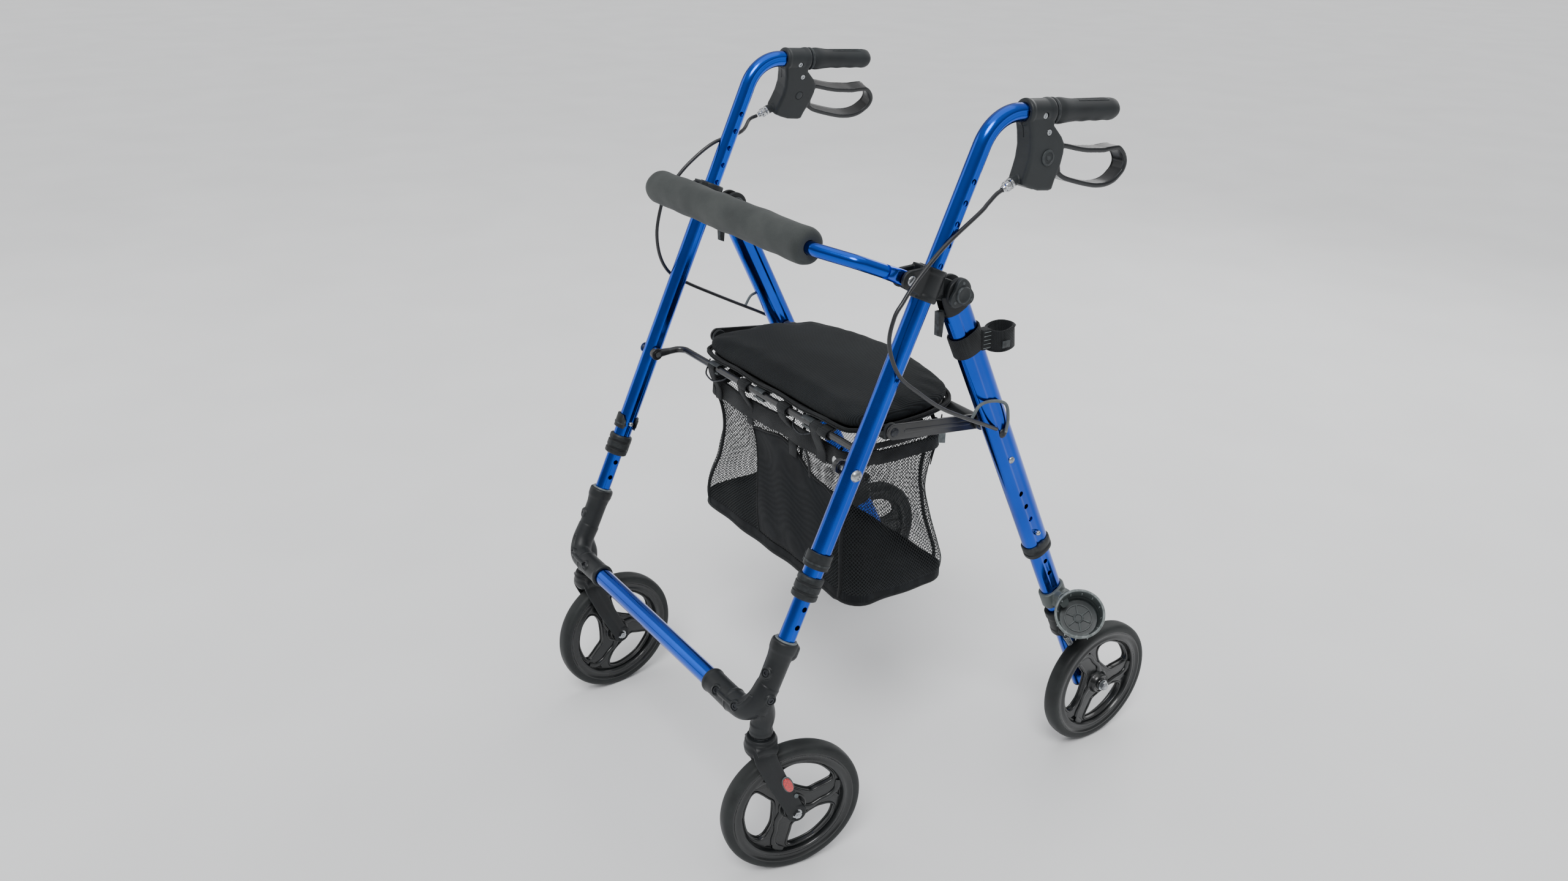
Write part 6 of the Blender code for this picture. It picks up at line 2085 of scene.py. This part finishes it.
# ---------------------------------------------------------------- cane holder, left side
def cane_strap():
    # band round the leg
    base = pose(rear_leg(1, 0.678), REAR_UP)
    path = []
    for i in range(64):
        angle = 2 * math.pi * i / 64
        path.append(base @ Vector((
            (REAR_A + 0.0022) * signed_power(math.cos(angle), 0.85),
            (REAR_B + 0.0022) * signed_power(math.sin(angle), 0.85), 0)))
    geo = Geo().sweep(path, rounded_rect(0.001, 0.0146, 0.0008, 2), closed=True,
                      up=REAR_UP)
    # hanging loop for the cane, edges raised
    base = (Matrix.Translation(spot(LEG_X + 0.013, 0.3645, 0.679))
            @ Matrix.Rotation(math.radians(6), 4, "X"))
    path = []
    for i in range(72):
        angle = 2 * math.pi * i / 72
        path.append(base @ Vector((0.0153 * math.cos(angle), 0.0183 * math.sin(angle),
                                   0.0006 * math.sin(3 * angle))))
    geo.sweep(path, rounded_rect(0.0011, 0.014, 0.0009, 2), closed=True)
    for k in (1, -1):
        geo.sweep([point + Vector((0, 0, k * 0.0122)) for point in path],
                  oval(0.0015, 0.0008, 8), closed=True)
    # sewn joint between the two
    geo.block(spot(LEG_X + 0.003, 0.3335, 0.6665), spot(LEG_X + 0.0172, 0.3478, 0.692),
              0.0022, segments=3)
    geo.make("cane_loop", WEB, "rear_frame", "webbing", "cane_strap")
    geo = Geo()
    for k in range(5):
        geo.sweep([spot(LEG_X + 0.0174, 0.335 + 0.0016 * i, 0.6695 + k * 0.005)
                   for i in range(8)], oval(0.0004, 0.0007, 6), up=X)
    geo.make("cane_loop_stitches", MID_GREY, "rear_frame", "webbing")
    Geo().block(spot(LEG_X + 0.029, 0.354, 0.67), spot(LEG_X + 0.0304, 0.366, 0.679),
                0.0006).make("cane_loop_tag", GREY, "rear_frame", "webbing")


CUP_AXIS = Vector((0.50, -0.545, 0.67)).normalized()
CUP_MOUTH = Vector(spot(0.3, 0.5209, 0.2544))
CUP_LUGS = yz_points((0.5367, 0.2586), (0.5235, 0.2489))


def cane_cup():
    base = pose(CUP_MOUTH, CUP_AXIS)
    geo = Geo().lathe([
        (0, -0.04), (0.024, -0.04), (0.0282, -0.0392), (0.0296, -0.037),
        (0.0304, -0.028), (0.0318, -0.014), (0.0328, -0.0062), (0.0338, -0.0056),
        (0.0346, -0.0042), (0.0347, -0.0018), (0.034, -0.0003), (0.033, 0.0003),
        (0.0316, 0), (0.0309, -0.001), (0.0302, -0.006), (0.0286, -0.022),
        (0.0272, -0.034), (0.0264, -0.0364), (0.025, -0.037), (0, -0.037)], base, 96)
    # outside ribs
    for i in range(12):
        geo.block((0.029, -0.0007, -0.036), (0.0322, 0.0007, -0.007), 0.0005,
                  base @ Matrix.Rotation(2 * math.pi * i / 12, 4, "Z"), segments=1)
    geo.make("cane_cup_shell", CUP, "rear_extension_left", "grey_plastic")
    # floor of the cup: ring, six ribs, a small centre and a wall liner, all darker than the
    # shell as painted shade inside the cup
    geo = Geo().lathe([
        (0, -0.0369), (0.0262, -0.0369), (0.0262, -0.0361), (0.02, -0.0359),
        (0.0196, -0.0346), (0.018, -0.0346), (0.0176, -0.036), (0.0072, -0.036),
        (0.0068, -0.034), (0.0048, -0.0336), (0.0044, -0.0352), (0, -0.0352)], base, 64)
    for i in range(6):
        geo.block((0.006, -0.0011, -0.0362), (0.0186, 0.0011, -0.0342), 0.0006,
                  base @ Matrix.Rotation(2 * math.pi * i / 6 + 0.3, 4, "Z"))
    geo.lathe([(0.0255, -0.0366), (0.0279, -0.03), (0.0287, -0.02), (0.0291, -0.0196),
               (0.0296, -0.0206), (0.0274, -0.0366)], base, 72, closed=True)
    geo.make("cane_cup_floor", CUP_INSIDE_SHADE, "rear_extension_left", "grey_plastic")


def cup_clamp():
    """Clamp on the lower tube, neck to the cup and two lugs with screws."""
    geo = Geo().sweep([rear_leg(1, z) for z in (0.2436, 0.2446, 0.256, 0.2672, 0.2682)],
                      oval(0.0132, 0.0197, 64, 2.5), up=Y,
                      scale=[(0.94, 0.96), 1.0, 1.0, 1.0, (0.94, 0.96)])
    near = CUP_MOUTH - CUP_AXIS * 0.014
    clamp = rear_leg(1, 0.256)
    out = (near - clamp) - CUP_AXIS * (near - clamp).dot(CUP_AXIS)
    end = near - out.normalized() * 0.029
    start = Vector((LEG_X + 0.004, clamp.y - 0.002, 0.256))
    middle = start.lerp(end, 0.5) + Vector((0, 0, -0.001))
    geo.sweep(smooth_path([start, middle, end], 6), oval(0.0075, 0.0115, 32, 2.6),
              up=REAR_UP)
    cut = Geo().sweep([rear_leg(1, 0.22), rear_leg(1, 0.29)],
                      oval(RIN_A + 0.0002, RIN_B + 0.0002, 64, 2.4), up=Y)
    screws = Geo()
    for y, z in CUP_LUGS:
        geo.block((LEG_X + 0.009, y - 0.0064, z - 0.0056),
                  (LEG_X + 0.0178, y + 0.0064, z + 0.0056), 0.0018, segments=3)
        cut.pin((y, z), LEG_X + 0.014, LEG_X + 0.024, 0.003)
        screws.socket_head((LEG_X + 0.015, y, z), X, 0.0026, 0.0012)
    geo.make("cup_clamp_body", CUP, "rear_extension_left", "grey_plastic", "cane_cup",
             cast=(0.0008, 3), cuts=[cut])
    screws.make("cup_clamp_screws", DARK_STEEL, "rear_extension_left", "steel")


cane_strap()
cane_cup()
cup_clamp()


# ---------------------------------------------------------------- brake cables
def cable(name, points, radius):
    obj = Geo().sweep(smooth_path(points, 10), circle(radius, 16), up=X).make(name, CABLE)
    register_between(obj)


# (x, y from the datum, z), from the brake housing down to the rear leg
CABLE_POINTS = {
    "left": ([(0.2417, 0.359, 0.8538), (0.242, 0.351, 0.85), (0.2462, 0.335, 0.842),
              (0.25, 0.3206, 0.8347), (0.256, 0.2673, 0.8067), (0.261, 0.2293, 0.7799),
              (0.2625, 0.213, 0.765)],
             [(0.2625, 0.213, 0.765), (0.2632, 0.203, 0.753), (0.264, 0.1902, 0.7363),
              (0.265, 0.1842, 0.7057), (0.266, 0.2001, 0.666), (0.2662, 0.2322, 0.6369),
              (0.265, 0.2699, 0.6089), (0.2625, 0.3159, 0.5837), (0.259, 0.35, 0.566),
              (0.256, 0.372, 0.554)]),
    "right": ([(-0.247, 0.315, 0.844), (-0.248, 0.27, 0.833), (-0.253, 0.233, 0.808),
               (-0.256, 0.208, 0.783), (-0.257, 0.196, 0.765)],
              [(-0.257, 0.196, 0.765), (-0.257, 0.1876, 0.751), (-0.257, 0.1795, 0.7141),
               (-0.2575, 0.1842, 0.6776), (-0.258, 0.2005, 0.65), (-0.258, 0.23, 0.63),
               (-0.2575, 0.27, 0.608), (-0.257, 0.3159, 0.5837), (-0.256, 0.35, 0.566),
               (-0.255, 0.372, 0.554)])}


def brake_cables():
    for side, tag in SIDES:
        upper, lower = ([spot(*point) for point in part] for part in CABLE_POINTS[tag])
        if side < 0:
            # the right cable starts at its turned housing
            upper = [tuple(clamp_place(side) @ Vector(spot(-LEG_X, y, z)))
                     for y, z in ((0.359, 0.8538), (0.347, 0.8482))] + upper
        cable(f"brake_cable_{tag}_upper", upper, 0.0026)
        cable(f"brake_cable_{tag}_lower", lower, 0.0025)


def wire_bail(side, tag):
    """Grey wire bent beside the rear leg."""
    line = yz_points((0.3287, 0.5793), (0.3403, 0.5937), (0.362, 0.5945),
                     (0.3842, 0.5853), (0.3905, 0.565), (0.3889, 0.546))
    Geo().sweep(smooth_path([(side * 0.256, y, z) for y, z in line]), circle(0.0021, 14),
                up=X).make(f"leg_wire_bail_{tag}", MID_GREY, "rear_frame", "steel")


brake_cables()
for each_side in SIDES:
    wire_bail(*each_side)
for piece in PIECES:
    piece.data.transform(SHIFT)


# ---------------------------------------------------------------- stage, light and camera
def stage_floor():
    mesh = bpy.data.meshes.new("floor")
    mesh.from_pydata([(-60, -60, 0), (60, -60, 0), (60, 60, 0), (-60, 60, 0)], [],
                     [(0, 1, 2, 3)])
    mat = Mat("studio_floor")
    colour = mat.tint(mat.noise(scale=3.0), (236, 237, 238), (241, 242, 243))
    mesh.materials.append(mat.done(colour, rough=0.72))
    obj = bpy.data.objects.new("floor", mesh)
    COLLECTION.objects.link(obj)


def world():
    """Soft grey room, brightest overhead and near the floor."""
    room = bpy.data.worlds.new("soft_room")
    bpy.context.scene.world = room
    room.use_nodes = True
    nodes, links = room.node_tree.nodes, room.node_tree.links
    background = nodes["Background"]
    coords = nodes.new("ShaderNodeTexCoord")
    split = nodes.new("ShaderNodeSeparateXYZ")
    ramp = nodes.new("ShaderNodeValToRGB")
    height = nodes.new("ShaderNodeMapRange")
    links.new(coords.outputs["Generated"], split.inputs[0])
    links.new(split.outputs["Z"], height.inputs["Value"])
    height.inputs["From Min"].default_value = -0.2
    height.inputs["From Max"].default_value = 1.0
    links.new(height.outputs[0], ramp.inputs[0])
    stops = ramp.color_ramp.elements
    stops[0].position, stops[0].color = 0.0, (0.70, 0.71, 0.72, 1)
    stops[1].position, stops[1].color = 1.0, (1.0, 1.0, 1.0, 1)
    # (position, grey level)
    for position, level in ((0.16, 0.80), (0.30, 0.34), (0.48, 0.42), (0.72, 0.86)):
        stops.new(position).color = (level, level, level * 1.01, 1)
    links.new(ramp.outputs[0], background.inputs["Color"])
    background.inputs["Strength"].default_value = 0.80


def add_light(name, kind, energy, location, target):
    """Light turned from location toward target; a sun stays at the origin."""
    light = bpy.data.lights.new(name, kind)
    light.energy = energy
    obj = bpy.data.objects.new(name, light)
    COLLECTION.objects.link(obj)
    if kind != "SUN":
        obj.location = location
    facing = Vector(target) - Vector(location)
    obj.rotation_euler = facing.to_track_quat("-Z", "Y").to_euler()
    return light


def area_light(name, location, target, size, energy):
    light = add_light(name, "AREA", energy, location, target)
    light.shape = "RECTANGLE"
    light.size, light.size_y = size


def camera():
    data = bpy.data.cameras.new("camera")
    data.sensor_width = 36.0
    data.lens = 28.999265625
    obj = bpy.data.objects.new("camera", data)
    COLLECTION.objects.link(obj)
    yaw, pitch, roll = (math.radians(angle) for angle in (55.278, 24.679, 0.7818))
    back = Vector((math.sin(yaw) * math.cos(pitch), -math.cos(yaw) * math.cos(pitch),
                   math.sin(pitch)))
    level = Vector((math.cos(yaw), math.sin(yaw), 0))
    upright = back.cross(level)
    right = level * math.cos(roll) + upright * math.sin(roll)
    top = -level * math.sin(roll) + upright * math.cos(roll)
    view = Matrix((right, top, back)).transposed().to_4x4()
    view.translation = Vector((1.2911, -0.9984, 1.1976)) + SHIFT.translation
    obj.matrix_world = view
    bpy.context.scene.camera = obj


stage_floor()
world()
key = add_light("key", "SUN", energy=1.9, location=(1.5, -1.5, 3.0), target=(0, 0, 0))
key.angle = math.radians(24)
area_light("top", location=(0.0, 0.2, 3.0), target=(0, 0, 0.4), size=(2.2, 2.2), energy=12)
area_light("left_fill", location=(-2.4, -1.8, 1.6), target=(0, 0, 0.5), size=(1.6, 2.2),
           energy=12)
area_light("rear_rim", location=(-0.6, 2.6, 1.9), target=(0, 0, 0.5), size=(2.4, 1.4),
           energy=26)
camera()
